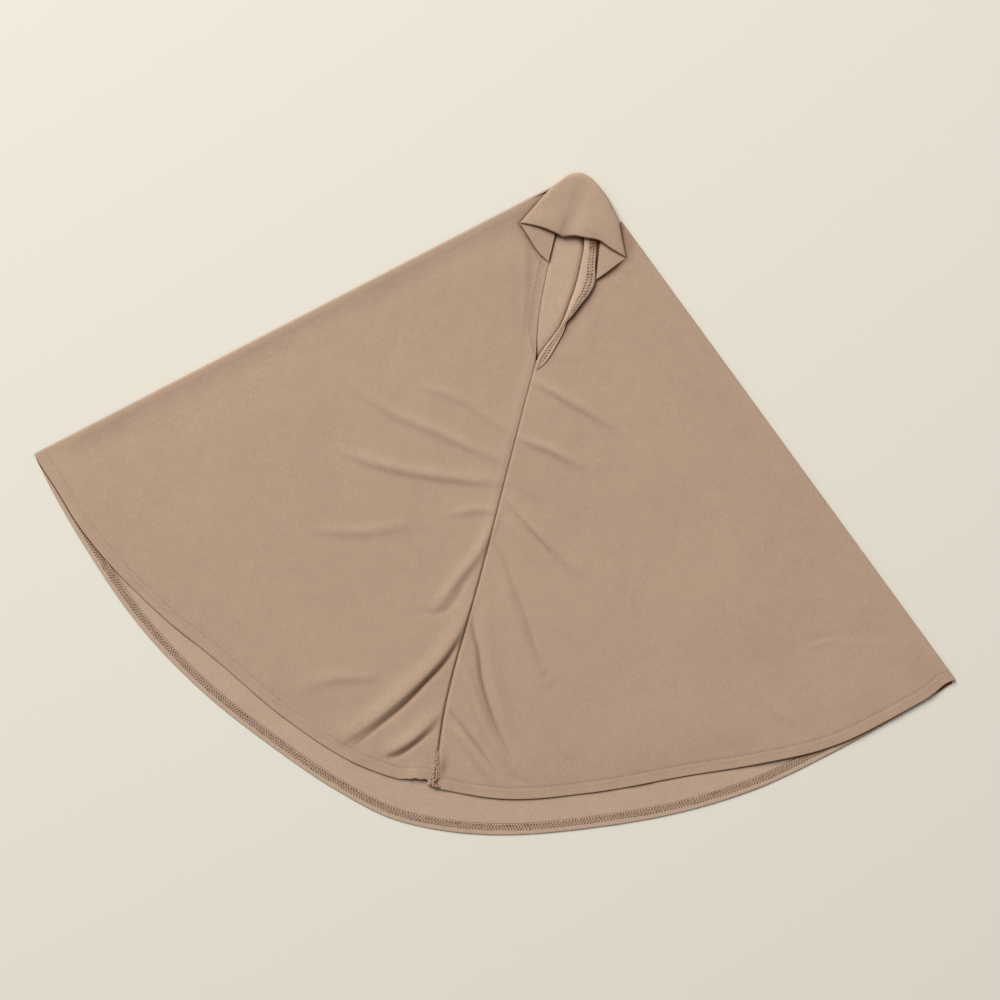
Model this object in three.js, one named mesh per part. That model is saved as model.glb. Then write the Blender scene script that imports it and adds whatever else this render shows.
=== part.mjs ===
// An instant hijab of fine jersey, laid flat with its front up. Millimetres, +Z up.
// The crown points to +Y and the hem to -Y. Left and right are as seen from above.
// The drape is a quarter circle about the crown: a place on it is an angle from the centre line,
// as a share of half_angle from -1 at the left side to 1 at the right, and a distance from the crown.

import * as THREE from 'three';

// Sizes of the drape
const half_angle = 49.4;
const back_length = 744;
const front_length = 700;
const left_length = 681;
const right_length = 695;
const hem_depth = 13;

// Sizes of the cloth as it lies
const wall = 1.2;
const hem_wall = 2;
const hollow = 6;
const piece_gap = 0.3;

// Sizes of the folds and of the seam on the front
const fold_lift = 6;
const fold_width = 17;
const seam_sway = 13;
const seam_allowance = 7;
const gather_length = 42;
const gather_width = 16;
const gather_lift = 2.4;

// Sizes of the face opening
const opening_foot = 217;
const opening_width = 34;
const band_width = 10;
const roll_width = 19;
const roll_lift = 3.6;

// Sizes of the crown that is folded forward
const peak_depth = 77;
const peak_room = 2;
const peak_dome = 1.2;
const peak_turn = 26;

// Levels of the layers, from the surface up
const front_level = wall + hollow;
const seam_level = front_level - piece_gap - wall;
const roll_level = front_level + wall + piece_gap;
const pleat_level = front_level + hem_wall + piece_gap;
const peak_level = Math.max(roll_level + hem_wall, pleat_level + wall) + piece_gap;

// Sizes that follow from these
const side_radius = (wall + hollow) / 2;
const side_reach = side_radius + wall / 2;
const panel_margin = side_reach + piece_gap;
const seam_length = front_length - opening_foot;
const peak_spread = peak_depth * Math.tan(THREE.MathUtils.degToRad(half_angle));
const peak_top = peak_level + wall * 1.5 + peak_room;
const crown_radius = (peak_top - wall / 2) / 2;
const side_start = crown_radius + 5;

// Colours of the jersey: outside, inside and along the stitched edges
const outside_colour = '#b39982';
const inside_colour = '#baa087';
const edge_colour = '#a78d76';

// How far each hem lies from a plain blend of its centre length and its side length,
// as shares of the centre length, at shares of half_angle
const HEM_SAG = [
  { at: -1.0, back: 0, front: 0 },
  { at: -0.8, back: -0.007, front: -0.008 },
  { at: -0.62, back: -0.005, front: -0.018 },
  { at: -0.47, back: -0.005, front: -0.024 },
  { at: -0.32, back: -0.005, front: -0.011 },
  { at: -0.17, back: 0.002, front: 0.003 },
  { at: -0.08, back: 0.006, front: 0.003 },
  { at: 0.0, back: 0, front: -0.001 },
  { at: 0.13, back: -0.001, front: -0.003 },
  { at: 0.28, back: -0.0086, front: -0.019 },
  { at: 0.45, back: -0.0105, front: -0.031 },
  { at: 0.6, back: -0.012, front: -0.023 },
  { at: 0.74, back: -0.0148, front: -0.0085 },
  { at: 0.88, back: -0.0145, front: -0.0055 },
  { at: 1.0, back: 0, front: 0 },
];

// Sideways place of the seam as a share of seam_sway, at shares of seam_length from the opening's foot
const SEAM = [
  { at: 0, side: -0.25 },
  { at: 0.25, side: -0.45 },
  { at: 0.5, side: -0.63 },
  { at: 0.8, side: -1 },
  { at: 1, side: -0.35 },
];

// Edges of the face opening as shares of opening_width, at shares of opening_foot from the crown:
// the left edge, the right edge, and how much of the roll's width and lift it has there
const OPENING = [
  { at: 0.24, left: -0.42, right: 0.5, roll: 0.7, lift: 0 },
  { at: 0.38, left: -0.42, right: 0.58, roll: 0.72, lift: 0 },
  { at: 0.5, left: -0.42, right: 0.61, roll: 0.98, lift: 0.6 },
  { at: 0.6, left: -0.41, right: 0.61, roll: 0.92, lift: 1 },
  { at: 0.75, left: -0.36, right: 0.5, roll: 0.42, lift: 0.9 },
  { at: 0.86, left: -0.27, right: 0.28, roll: 0.42, lift: 0.5 },
  { at: 0.94, left: -0.17, right: 0.06, roll: 0.62, lift: 0.2 },
  { at: 1, left: -0.1, right: -0.05, roll: 0.4, lift: 0 },
];

// Outline of the folded crown as shares of peak_spread and peak_depth, one row for each section
// from left to right: where it turns over from the back, and where its front edge is folded
const PEAK = [
  { back_x: -0.325, back_y: 0.325, fold_x: -0.61, fold_y: 0.95 },
  { back_x: -0.28, back_y: 0.27, fold_x: -0.5, fold_y: 0.942 },
  { back_x: -0.165, back_y: 0.118, fold_x: -0.33, fold_y: 0.946 },
  { back_x: -0.063, back_y: 0.061, fold_x: -0.15, fold_y: 0.978 },
  { back_x: 0.02, back_y: 0.058, fold_x: -0.06, fold_y: 1 },
  { back_x: 0.136, back_y: 0.109, fold_x: 0.07, fold_y: 0.953 },
  { back_x: 0.256, back_y: 0.208, fold_x: 0.22, fold_y: 0.945 },
  { back_x: 0.365, back_y: 0.32, fold_x: 0.38, fold_y: 0.938 },
  { back_x: 0.462, back_y: 0.455, fold_x: 0.54, fold_y: 1.01 },
  { back_x: 0.546, back_y: 0.572, fold_x: 0.74, fold_y: 1.08 },
];

// Pleats tucked under the peak's corners, in the same shares: the free edge and the edge under the peak
const LEFT_PLEAT = [
  { free_x: -0.6, free_y: 0.965, tucked_x: -0.56, tucked_y: 0.9 },
  { free_x: -0.48, free_y: 1.1, tucked_x: -0.42, tucked_y: 0.86 },
  { free_x: -0.32, free_y: 1.28, tucked_x: -0.28, tucked_y: 0.84 },
  { free_x: -0.165, free_y: 1.39, tucked_x: -0.165, tucked_y: 0.84 },
];
const RIGHT_PLEAT = [
  { free_x: 0.46, free_y: 1.46, tucked_x: 0.42, tucked_y: 0.9 },
  { free_x: 0.55, free_y: 1.4, tucked_x: 0.5, tucked_y: 0.9 },
  { free_x: 0.67, free_y: 1.24, tucked_x: 0.6, tucked_y: 0.92 },
  { free_x: 0.74, free_y: 1.1, tucked_x: 0.7, tucked_y: 0.97 },
];

// Folds of the front, each a soft ridge through three places. A place is its distance from the centre
// line and down from the opening's foot, as shares of seam_length, and the ridge's height and width are
// shares of fold_lift and fold_width.
const FOLDS = [
  { name: 'upper left', x0: -0.25, d0: 0.1, x1: -0.14, d1: 0.115, x2: -0.02, d2: 0.165, lift: 0.35, width: 0.8 },
  { name: 'long left', x0: -0.38, d0: 0.155, x1: -0.22, d1: 0.19, x2: -0.01, d2: 0.235, lift: 0.45, width: 0.9 },
  { name: 'level left', x0: -0.4, d0: 0.295, x1: -0.2, d1: 0.305, x2: 0, d2: 0.275, lift: 0.55, width: 0.9 },
  { name: 'short left', x0: -0.12, d0: 0.375, x1: -0.06, d1: 0.35, x2: 0, d2: 0.34, lift: 0.35, width: 0.7 },
  { name: 'lone left', x0: -0.42, d0: 0.485, x1: -0.29, d1: 0.465, x2: -0.2, d2: 0.42, lift: 0.35, width: 0.8 },
  { name: 'seam left', x0: -0.01, d0: 0.36, x1: -0.02, d1: 0.46, x2: -0.1, d2: 0.6, lift: 0.7, width: 0.8 },
  { name: 'main left', x0: -0.02, d0: 0.52, x1: -0.04, d1: 0.72, x2: -0.24, d2: 0.95, lift: 1, width: 1 },
  { name: 'lower left', x0: -0.02, d0: 0.79, x1: -0.06, d1: 0.87, x2: -0.13, d2: 0.95, lift: 0.7, width: 0.8 },
  { name: 'hem left', x0: -0.37, d0: 0.85, x1: -0.3, d1: 0.79, x2: -0.19, d2: 0.775, lift: 0.35, width: 0.9 },
  { name: 'upper right', x0: 0, d0: 0.035, x1: 0.1, d1: 0.05, x2: 0.22, d2: 0.11, lift: 0.5, width: 0.8 },
  { name: 'short right', x0: 0, d0: 0.165, x1: 0.08, d1: 0.17, x2: 0.17, d2: 0.21, lift: 0.45, width: 0.8 },
  { name: 'long right', x0: 0, d0: 0.3, x1: 0.08, d1: 0.37, x2: 0.21, d2: 0.45, lift: 0.55, width: 0.9 },
  { name: 'thin right', x0: 0.03, d0: 0.48, x1: 0.1, d1: 0.6, x2: 0.18, d2: 0.71, lift: 0.3, width: 0.8 },
  { name: 'crease right', x0: 0, d0: 0.58, x1: 0.04, d1: 0.68, x2: 0.14, d2: 0.86, lift: 0.55, width: 0.9 },
  { name: 'main right', x0: -0.01, d0: 0.7, x1: 0.03, d1: 0.79, x2: 0.15, d2: 0.93, lift: 0.6, width: 0.8 },
  { name: 'lower right', x0: 0, d0: 0.83, x1: 0.06, d1: 0.87, x2: 0.14, d2: 0.95, lift: 0.4, width: 0.6 },
];

// Value of a column at a place between the table's rows, on a smooth curve through them
function readTable(table, column, at) {
  const place = THREE.MathUtils.clamp(at, table[0].at, table[table.length - 1].at);
  let row = 0;
  while (row < table.length - 2 && place > table[row + 1].at) {
    row += 1;
  }
  const share = (place - table[row].at) / (table[row + 1].at - table[row].at);
  return smoothThrough(table, column, row + share);
}

// Value of a column at a row number that may lie between two rows
function smoothThrough(table, column, number) {
  const last = table.length - 1;
  const row = Math.min(Math.floor(number), last - 1);
  const share = number - row;
  const value = (index) => table[THREE.MathUtils.clamp(index, 0, last)][column];
  const from = value(row);
  const to = value(row + 1);
  const slope_from = (to - value(row - 1)) / 2;
  const slope_to = (value(row + 2) - from) / 2;
  const curve = 2 * from - 2 * to + slope_from + slope_to;
  const bend = 3 * to - 3 * from - 2 * slope_from - slope_to;
  return ((curve * share + bend) * share + slope_from) * share + from;
}

// Evenly spaced numbers from 0 to 1
function steps(count) {
  return Array.from({ length: count + 1 }, (_, index) => index / count);
}

function mix(from, to, share) {
  return from + (to - from) * share;
}

// Point on the drape at a share of half_angle and a distance from the crown
function onDrape(share, radius) {
  const angle = THREE.MathUtils.degToRad(share * half_angle);
  return new THREE.Vector2(radius * Math.sin(angle), -radius * Math.cos(angle));
}

// Unit direction of a side fold away from the crown, and the one at right angles to it into the drape
function sideDirections(side) {
  const along = onDrape(side, 1);
  const inward = new THREE.Vector2(side * along.y, -side * along.x);
  return { along, inward };
}

// The nearest point that keeps a distance inside both side folds
function keepInside(point, distance) {
  const kept = point.clone();
  for (const side of [-1, 1]) {
    const { inward } = sideDirections(side);
    const short = distance - kept.dot(inward);
    if (short > 0) {
      kept.addScaledVector(inward, short);
    }
  }
  return kept;
}

// Distance from the crown to the edge of the back or front hem
function hemRadius(layer, share) {
  const centre = layer === 'back' ? back_length : front_length;
  const side = share < 0 ? left_length : right_length;
  return mix(centre, side, Math.abs(share)) + readTable(HEM_SAG, layer, share) * centre;
}

// Sideways place of the seam at a distance from the crown
function seamX(radius) {
  return readTable(SEAM, 'side', (radius - opening_foot) / seam_length) * seam_sway;
}

function openingEdge(column, radius) {
  return readTable(OPENING, column, radius / opening_foot) * opening_width;
}

function rollWidth(radius) {
  return readTable(OPENING, 'roll', radius / opening_foot) * roll_width;
}

// Width of the flat band at the left of the opening, which runs out at the foot
function bandWidth(radius) {
  const left = THREE.MathUtils.clamp((opening_foot - radius) / (band_width * 3), 0.2, 1);
  return band_width * left;
}

// Sideways place of the inner edge of a front panel
function panelEdge(side, radius) {
  if (radius > opening_foot + 1) {
    return seamX(radius) + side * piece_gap / 2;
  }
  if (side < 0) {
    return openingEdge('left', radius) - bandWidth(radius) - piece_gap;
  }
  return openingEdge('right', radius) + rollWidth(radius) / 2;
}

// Height that the folds add to the front at a point
function foldHeight(point) {
  let height = 0;
  for (const fold of FOLDS) {
    for (const share of steps(12)) {
      const rest = 1 - share;
      const across = rest * rest * fold.x0 + 2 * rest * share * fold.x1 + share * share * fold.x2;
      const down = rest * rest * fold.d0 + 2 * rest * share * fold.d1 + share * share * fold.d2;
      const away = Math.hypot(point.x - across * seam_length, -point.y - opening_foot - down * seam_length);
      const fade = Math.sqrt(Math.sin(Math.PI * THREE.MathUtils.clamp(share, 0.02, 0.98)));
      const ridge = Math.exp(-((away / (fold.width * fold_width)) ** 2));
      height = Math.max(height, fold.lift * fold_lift * fade * ridge);
    }
  }
  const from_seam = Math.abs(point.x - seamX(-point.y));
  return height * THREE.MathUtils.smoothstep(from_seam, gather_width / 2, gather_width * 1.4);
}

// Distance from the crown at which a front panel starts, under the folded crown
function panelTop(side) {
  const corner = side < 0 ? 0 : PEAK.length - 1;
  return peakSection(corner).start.length() + side_start;
}

// Distances from the crown of the rows of a front panel beside the face opening
function openingRows(side) {
  return steps(8).map((share) => mix(panelTop(side), opening_foot, share));
}

// A net of points on one half of the front, from its inner edge out to the side fold, with a row at
// each share of the way down. Its columns lie closer together towards the seam, where the folds are.
function frontNet(side, inner, top, foot, rows, columns) {
  return rows.map((down) => steps(columns).map((out) => {
    let share = side * out;
    let radius = 0;
    for (let pass = 0; pass < 4; pass += 1) {
      radius = mix(top(share), foot(share), down);
      const edge = Math.asin(inner(radius) / radius);
      const fold = side * (THREE.MathUtils.degToRad(half_angle) - Math.asin(panel_margin / radius));
      const angle = mix(edge, fold, out ** 1.3);
      share = THREE.MathUtils.radToDeg(angle) / half_angle;
    }
    return onDrape(share, radius);
  }));
}

// A closed sheet between two nets of points that have the same rows and columns
function closedSheet(upper, lower) {
  const rows = upper.length;
  const columns = upper[0].length;
  const points = [upper, lower].flat(2);
  const at = (face, row, column) => (face * rows + row) * columns + column;
  const index = [];
  const quad = (a, b, c, d) => index.push(a, b, c, a, c, d);
  for (let row = 0; row < rows - 1; row += 1) {
    for (let column = 0; column < columns - 1; column += 1) {
      quad(at(0, row, column), at(0, row, column + 1), at(0, row + 1, column + 1), at(0, row + 1, column));
      quad(at(1, row, column), at(1, row + 1, column), at(1, row + 1, column + 1), at(1, row, column + 1));
    }
  }
  const end_row = rows - 1;
  const end_column = columns - 1;
  for (let column = 0; column < end_column; column += 1) {
    quad(at(0, 0, column + 1), at(0, 0, column), at(1, 0, column), at(1, 0, column + 1));
    quad(at(0, end_row, column), at(0, end_row, column + 1), at(1, end_row, column + 1), at(1, end_row, column));
  }
  for (let row = 0; row < end_row; row += 1) {
    quad(at(0, row, 0), at(0, row + 1, 0), at(1, row + 1, 0), at(1, row, 0));
    quad(at(0, row + 1, end_column), at(0, row, end_column), at(1, row, end_column), at(1, row + 1, end_column));
  }
  if (signedVolume(points, index) < 0) {
    index.reverse();
  }
  const geometry = new THREE.BufferGeometry();
  geometry.setFromPoints(points);
  geometry.setIndex(index);
  geometry.computeVertexNormals();
  return geometry;
}

function signedVolume(points, index) {
  let sum = 0;
  for (let corner = 0; corner < index.length; corner += 3) {
    const [a, b, c] = [0, 1, 2].map((step) => points[index[corner + step]]);
    sum += a.dot(b.clone().cross(c)) / 6;
  }
  return sum;
}

// A layer of cloth over a flat net: level gives its underside at a point of the net
function layer(net, level, thickness) {
  const lift = (extra) => net.map((row, down) => row.map(
    (point, out) => new THREE.Vector3(point.x, point.y, level(point, down, out) + extra),
  ));
  return closedSheet(lift(thickness), lift(0));
}

// A sheet whose section is a path of (distance, height) points, one path for each station.
// A station has the point that distances start from and their direction.
function sweptSheet(stations, thickness) {
  const face = (side) => stations.map(({ start, direction, path }) => path.map((point, index) => {
    const before = path[Math.max(index - 1, 0)];
    const after = path[Math.min(index + 1, path.length - 1)];
    const run = after.clone().sub(before).normalize();
    const place = point.clone().add(new THREE.Vector2(-run.y, run.x).multiplyScalar(side * thickness / 2));
    const ground = start.clone().addScaledVector(direction, place.x);
    return new THREE.Vector3(ground.x, ground.y, place.y);
  }));
  return closedSheet(face(1), face(-1));
}

// Half a circle of (distance, height) points from one height to another, bulging to the given side
function halfTurn(distance, from, to, bulge, count) {
  const radius = (to - from) / 2;
  return steps(count).map((share) => {
    const angle = Math.PI * share;
    const out = bulge * Math.abs(radius) * Math.sin(angle);
    return new THREE.Vector2(distance + out, (from + to) / 2 - radius * Math.cos(angle));
  });
}

function cloth(name, geometry, colour) {
  const material = new THREE.MeshStandardMaterial({ color: colour, roughness: 0.92, metalness: 0 });
  const mesh = new THREE.Mesh(geometry, material);
  mesh.name = name;
  return mesh;
}

// Sections of the folded crown, with the direction from its back edge to its front fold
function peakSection(number) {
  const read = (column) => smoothThrough(PEAK, column, number);
  const start = new THREE.Vector2(read('back_x') * peak_spread, -read('back_y') * peak_depth);
  const fold = new THREE.Vector2(read('fold_x') * peak_spread, -read('fold_y') * peak_depth);
  const depth = fold.distanceTo(start);
  const direction = fold.clone().sub(start).normalize();
  return { start, fold, depth, direction };
}

// The back layer, from the folded crown down to its hem
function backPanel() {
  const columns = 24;
  const rows = 8;
  const net = steps(rows).map((down) => steps(columns).map((across) => {
    const { start, direction } = peakSection(across * (PEAK.length - 1));
    const top = start.clone().addScaledVector(direction, crown_radius + wall / 2 + piece_gap);
    const share = mix(-1, 1, across);
    const foot = onDrape(share, hemRadius('back', share) - hem_depth - piece_gap);
    return keepInside(top.lerp(foot, down), panel_margin);
  }));
  return cloth('back_panel', layer(net, () => 0, wall), inside_colour);
}

// The back's hem, turned up and stitched, two layers thick
function backHem() {
  const net = steps(1).map((down) => steps(24).map((across) => {
    const share = mix(-1, 1, across);
    const edge = hemRadius('back', share);
    return keepInside(onDrape(share, mix(edge - hem_depth, edge, down)), panel_margin);
  }));
  return cloth('back_hem', layer(net, () => 0, hem_wall), inside_colour);
}

// Half of the front layer, with its folds
function frontPanel(name, side) {
  const top = () => panelTop(side);
  const foot = (share) => hemRadius('front', share) - hem_depth - piece_gap;
  const beside = openingRows(side).map((radius) => (radius - top()) / (foot(0) - top()));
  const below = steps(22).slice(1).map((share) => mix(beside[beside.length - 1], 1, share));
  const inner = (radius) => panelEdge(side, radius);
  const net = frontNet(side, inner, top, foot, [...beside, ...below], 20);
  const level = (point) => front_level + foldHeight(point);
  return cloth(name, layer(net, level, wall), outside_colour);
}

// Half of the front's hem, two layers thick
function frontHem(name, side) {
  const inner = (radius) => seamX(radius) + side * piece_gap / 2;
  const top = (share) => hemRadius('front', share) - hem_depth;
  const foot = (share) => hemRadius('front', share);
  const net = frontNet(side, inner, top, foot, [0, 1], 20);
  return cloth(name, layer(net, () => front_level, hem_wall), edge_colour);
}

// The cloth going round from the back layer to the front at one side
function sideFold(name, side) {
  const { along, inward } = sideDirections(side);
  const foot = side < 0 ? left_length : right_length;
  const path = halfTurn(side_reach, wall / 2, front_level + wall / 2, -1, 8);
  const stations = steps(12).map((down) => ({
    start: along.clone().multiplyScalar(mix(panelTop(side), foot, down)),
    direction: inward,
    path,
  }));
  return cloth(name, sweptSheet(stations, wall), outside_colour);
}

// The seam allowance of the two fronts, pressed flat under them
function frontSeam() {
  const net = steps(16).map((down) => steps(1).map((across) => {
    const radius = mix(opening_foot, front_length - hem_depth, down);
    return new THREE.Vector2(seamX(radius) + mix(-0.5, 0.5, across) * seam_allowance, -radius);
  }));
  return cloth('front_seam', layer(net, () => seam_level, wall), edge_colour);
}

// The foot of the seam, drawn together in small pleats and tacked down over the hem
function seamGather() {
  const columns = 8;
  const net = steps(6).map((down) => steps(columns).map((across) => {
    const radius = front_length - hem_depth / 4 - mix(gather_length, 0, down);
    const width = gather_width * mix(0.3, 1, down);
    return new THREE.Vector2(seamX(radius) + mix(-0.5, 0.5, across) * width, -radius);
  }));
  const pleats = (point, down, out) => pleat_level + (out % 2) * (gather_lift - wall) * mix(0.3, 1, down / 6);
  return cloth('seam_gather', layer(net, pleats, wall), edge_colour);
}

// The flat band along the left edge of the face opening
function leftBand() {
  const net = openingRows(-1).map((radius) => steps(2).map((across) => {
    const outer = panelEdge(-1, radius) + piece_gap;
    const down = Math.sqrt(radius ** 2 - outer ** 2);
    return new THREE.Vector2(mix(outer, openingEdge('left', radius), across), -down);
  }));
  return cloth('face_band_left', layer(net, () => front_level, hem_wall), edge_colour);
}

// The band along the right edge, rolled over outwards on top of the front
function rightBand() {
  const top = OPENING[0].at * opening_foot;
  const columns = 6;
  const net = steps(16).map((down) => steps(columns).map((across) => {
    const radius = mix(top, opening_foot, down);
    const edge = openingEdge('right', radius);
    return new THREE.Vector2(edge + rollWidth(radius) * across, -radius);
  }));
  const rise = (point, down, out) => {
    const lift = readTable(OPENING, 'lift', -point.y / opening_foot) * roll_lift;
    return roll_level + lift * Math.sin(Math.PI * out / columns);
  };
  return cloth('face_band_right', layer(net, rise, hem_wall), edge_colour);
}

// The crown folded forward: up from the back layer, over to the fold, and under for a short way
function hoodPeak() {
  const lower = peak_level + wall / 2;
  const stations = steps(14).map((across) => {
    const { start, depth, direction } = peakSection(across * (PEAK.length - 1));
    const dome = peak_dome * Math.sin(Math.PI * across);
    const top = peak_top + dome * 0.2;
    const front_radius = (top - lower) / 2;
    const fold_at = depth - front_radius - wall / 2;
    const rear = halfTurn(crown_radius + wall / 2, wall / 2, top, -1, 7);
    const over = steps(4).slice(1, -1).map((share) => new THREE.Vector2(
      mix(crown_radius + wall / 2, fold_at, share),
      top + dome * 0.8 * Math.sin(Math.PI * share),
    ));
    const front = halfTurn(fold_at, top, lower, 1, 5);
    const under = new THREE.Vector2(fold_at - Math.min(peak_turn, depth / 2), lower);
    return { start, direction, path: [...rear, ...over, ...front, under] };
  });
  return cloth('hood_peak', sweptSheet(stations, wall), outside_colour);
}

// One of the pleats tucked under the peak's corners
function peakPleat(name, table) {
  const net = steps(3).map((down) => steps(6).map((across) => {
    const number = across * (table.length - 1);
    const read = (column) => smoothThrough(table, column, number);
    const x = mix(read('tucked_x'), read('free_x'), down) * peak_spread;
    const y = -mix(read('tucked_y'), read('free_y'), down) * peak_depth;
    return new THREE.Vector2(x, y);
  }));
  return cloth(name, layer(net, () => pleat_level, wall), outside_colour);
}

// The garment in one group, with the middle of its underside at the origin
const garment = new THREE.Group();
garment.add(
  backPanel(),
  backHem(),
  frontPanel('front_left_panel', -1),
  frontPanel('front_right_panel', 1),
  frontHem('front_left_hem', -1),
  frontHem('front_right_hem', 1),
  sideFold('left_side_fold', -1),
  sideFold('right_side_fold', 1),
  frontSeam(),
  seamGather(),
  leftBand(),
  rightBand(),
  hoodPeak(),
  peakPleat('left_peak_pleat', LEFT_PLEAT),
  peakPleat('right_peak_pleat', RIGHT_PLEAT),
);
const middle = new THREE.Box3().setFromObject(garment).getCenter(new THREE.Vector3());
garment.position.set(-middle.x, -middle.y, 0);

const group = new THREE.Group();
group.add(garment);

export default group;
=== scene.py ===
"""An instant hijab of fine jersey, laid flat with its front up and seen from straight above.

Shapes are worked out in millimetres from the crown, which points to +Y, with the hem to -Y, and go into the
meshes in metres. A place on the drape is a share of HALF_ANGLE, from -1 at the left side to 1 at the right,
and a distance from the crown. Cloth is the middle surface of a sheet, on a grid of rows and columns.
"""

import bpy
import numpy as np
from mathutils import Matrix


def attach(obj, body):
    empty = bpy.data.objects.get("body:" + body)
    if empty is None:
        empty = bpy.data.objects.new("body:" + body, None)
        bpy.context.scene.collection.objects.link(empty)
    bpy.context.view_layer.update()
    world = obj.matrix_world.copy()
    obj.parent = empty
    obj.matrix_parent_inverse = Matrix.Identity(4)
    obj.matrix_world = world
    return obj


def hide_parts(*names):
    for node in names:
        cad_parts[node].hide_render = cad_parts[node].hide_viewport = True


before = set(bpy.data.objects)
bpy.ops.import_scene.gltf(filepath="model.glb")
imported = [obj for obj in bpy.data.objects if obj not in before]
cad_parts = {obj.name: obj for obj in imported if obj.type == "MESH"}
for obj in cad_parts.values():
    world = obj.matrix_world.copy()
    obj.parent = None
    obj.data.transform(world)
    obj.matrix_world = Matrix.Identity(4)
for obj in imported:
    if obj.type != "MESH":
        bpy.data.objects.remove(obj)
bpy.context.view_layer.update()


# The back of the drape
# One large quarter circle of jersey whose inside is up. It lies on the surface, and its hem is turned up
# and sewn with two needle rows, so the looped threads of the stitch show along the lower edge.

MM = 0.001
CROWN_X = -5.315  # place of the crown in the frame
CROWN_Y = 374.16
CLOTH = 0.6  # thickness of the jersey
CLEAR = 0.1  # between the cloth and the surface

HALF_ANGLE = 49.4
BACK_LENGTH = 744.0
FRONT_LENGTH = 700.0
LEFT_LENGTH = 681.0
RIGHT_LENGTH = 695.0
HEM_DEPTH = 12.0
HEM_TURN = 0.4  # radius of the turned edge

HEM_AT = [-1.0, -0.8, -0.62, -0.47, -0.32, -0.17, -0.08, 0.0, 0.13, 0.28, 0.45, 0.6, 0.74, 0.88, 1.0]
BACK_SAG = [0, -0.0078, -0.0066, -0.0072, -0.0077, -0.001, 0.0032, 0, -0.0034, -0.0108, -0.0122, -0.0133,
            -0.0157, -0.0105, 0]
FRONT_SAG = [0, -0.0083, -0.0185, -0.0247, -0.0119, 0.002, 0.0021, -0.001, -0.0033, -0.0192, -0.031, -0.023,
             -0.0085, -0.0055, 0]
HEM_ROUND = 0.05  # share over which the two halves of a hem run into each other
# Where the front's hem is drawn up: how far, the share of its middle, its half width, and how boxy it is
DRAWN_UP = [(5.5, -0.03, 0.02, 6), (3.3, -0.056, 0.012, 2), (2.0, -0.0265, 0.007, 2),
            (3.2, 0.98, 0.022, 2), (2.2, -0.92, 0.055, 2)]

OPENING_FOOT = 217.0
OPENING_WIDTH = 34.0
OPENING_AT = [0.24, 0.38, 0.5, 0.6, 0.75, 0.86, 0.94, 1]
OPENING_LEFT = [-0.42, -0.42, -0.42, -0.41, -0.36, -0.27, -0.17, -0.1]
OPENING_RIGHT = [0.5, 0.58, 0.61, 0.61, 0.5, 0.28, 0.06, -0.05]
OPENING_SWELL = 0.9  # how far the back layer stands up in the face opening

PEAK_DEPTH = 77.0
PEAK_SPREAD = PEAK_DEPTH * np.tan(np.radians(HALF_ANGLE))
PEAK_BACK_X = [-0.325, -0.28, -0.165, -0.063, 0.02, 0.136, 0.256, 0.365, 0.462, 0.546]
PEAK_BACK_Y = [0.325, 0.27, 0.118, 0.061, 0.058, 0.109, 0.208, 0.32, 0.455, 0.572]
PEAK_FOLD_X = [-0.61, -0.5, -0.33, -0.15, -0.06, 0.07, 0.22, 0.38, 0.54, 0.74]
PEAK_FOLD_Y = [0.95, 0.942, 0.946, 0.978, 1.0, 0.953, 0.945, 0.938, 1.01, 1.08]
BACK_START = 8.0  # from the crown's back edge to where the back layer takes over
SIDE_REACH = 4.5  # from the side fold to where the back layer starts

UP = np.array([0.0, 0.0, 1.0])


def curve(places, values, at):
    """Values at the places `at` on a smooth curve through a table. Between two rows it is a cubic whose
    slope at a row is that of the line between the rows on either side."""
    places = np.asarray(places, float)
    values = np.asarray(values, float)
    slope = np.empty_like(values)
    slope[1:-1] = (values[2:] - values[:-2]) / (places[2:] - places[:-2])
    slope[0] = (values[1] - values[0]) / (places[1] - places[0])
    slope[-1] = (values[-1] - values[-2]) / (places[-1] - places[-2])
    at = np.clip(at, places[0], places[-1])
    row = np.clip(np.searchsorted(places, at, "right") - 1, 0, len(places) - 2)
    width = places[row + 1] - places[row]
    s = (at - places[row]) / width
    value = (2 * s**3 - 3 * s**2 + 1) * values[row] + (3 * s**2 - 2 * s**3) * values[row + 1]
    return value + ((s**3 - 2 * s**2 + s) * slope[row] + (s**3 - s**2) * slope[row + 1]) * width


def ramp(value, low, high):
    """0 below low, 1 above high, and 3s^2 - 2s^3 of the share s between them."""
    s = np.clip((value - low) / (high - low), 0, 1)
    return s * s * (3 - 2 * s)


def waves(x, y, seed, shortest, longest, count=14):
    """Soft unevenness of about -1 to 1: the sum of sines that run in all directions, with wavelengths
    from shortest to longest."""
    rng = np.random.default_rng(seed)
    total = 0.0
    for turn, length, phase in zip(rng.uniform(0, np.pi, count), rng.uniform(shortest, longest, count),
                                   rng.uniform(0, 2 * np.pi, count)):
        total = total + np.sin(2 * np.pi * (x * np.cos(turn) + y * np.sin(turn)) / length + phase)
    return total / np.sqrt(count)


def on_drape(share, radius):
    """x and y of a place on the drape: radius times the sine and the negative cosine of its angle."""
    angle = np.radians(share * HALF_ANGLE)
    return radius * np.sin(angle), -radius * np.cos(angle)


def drape_share(x, y):
    """Share of the drape at a place: its angle from the centre line over HALF_ANGLE."""
    return np.degrees(np.arctan2(x, -y)) / HALF_ANGLE


def side_line(side):
    """Unit direction of a side fold away from the crown, and the one at right angles into the drape."""
    x, y = on_drape(side, 1.0)
    return np.array([x, y]), np.array([side * y, -side * x])


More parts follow.
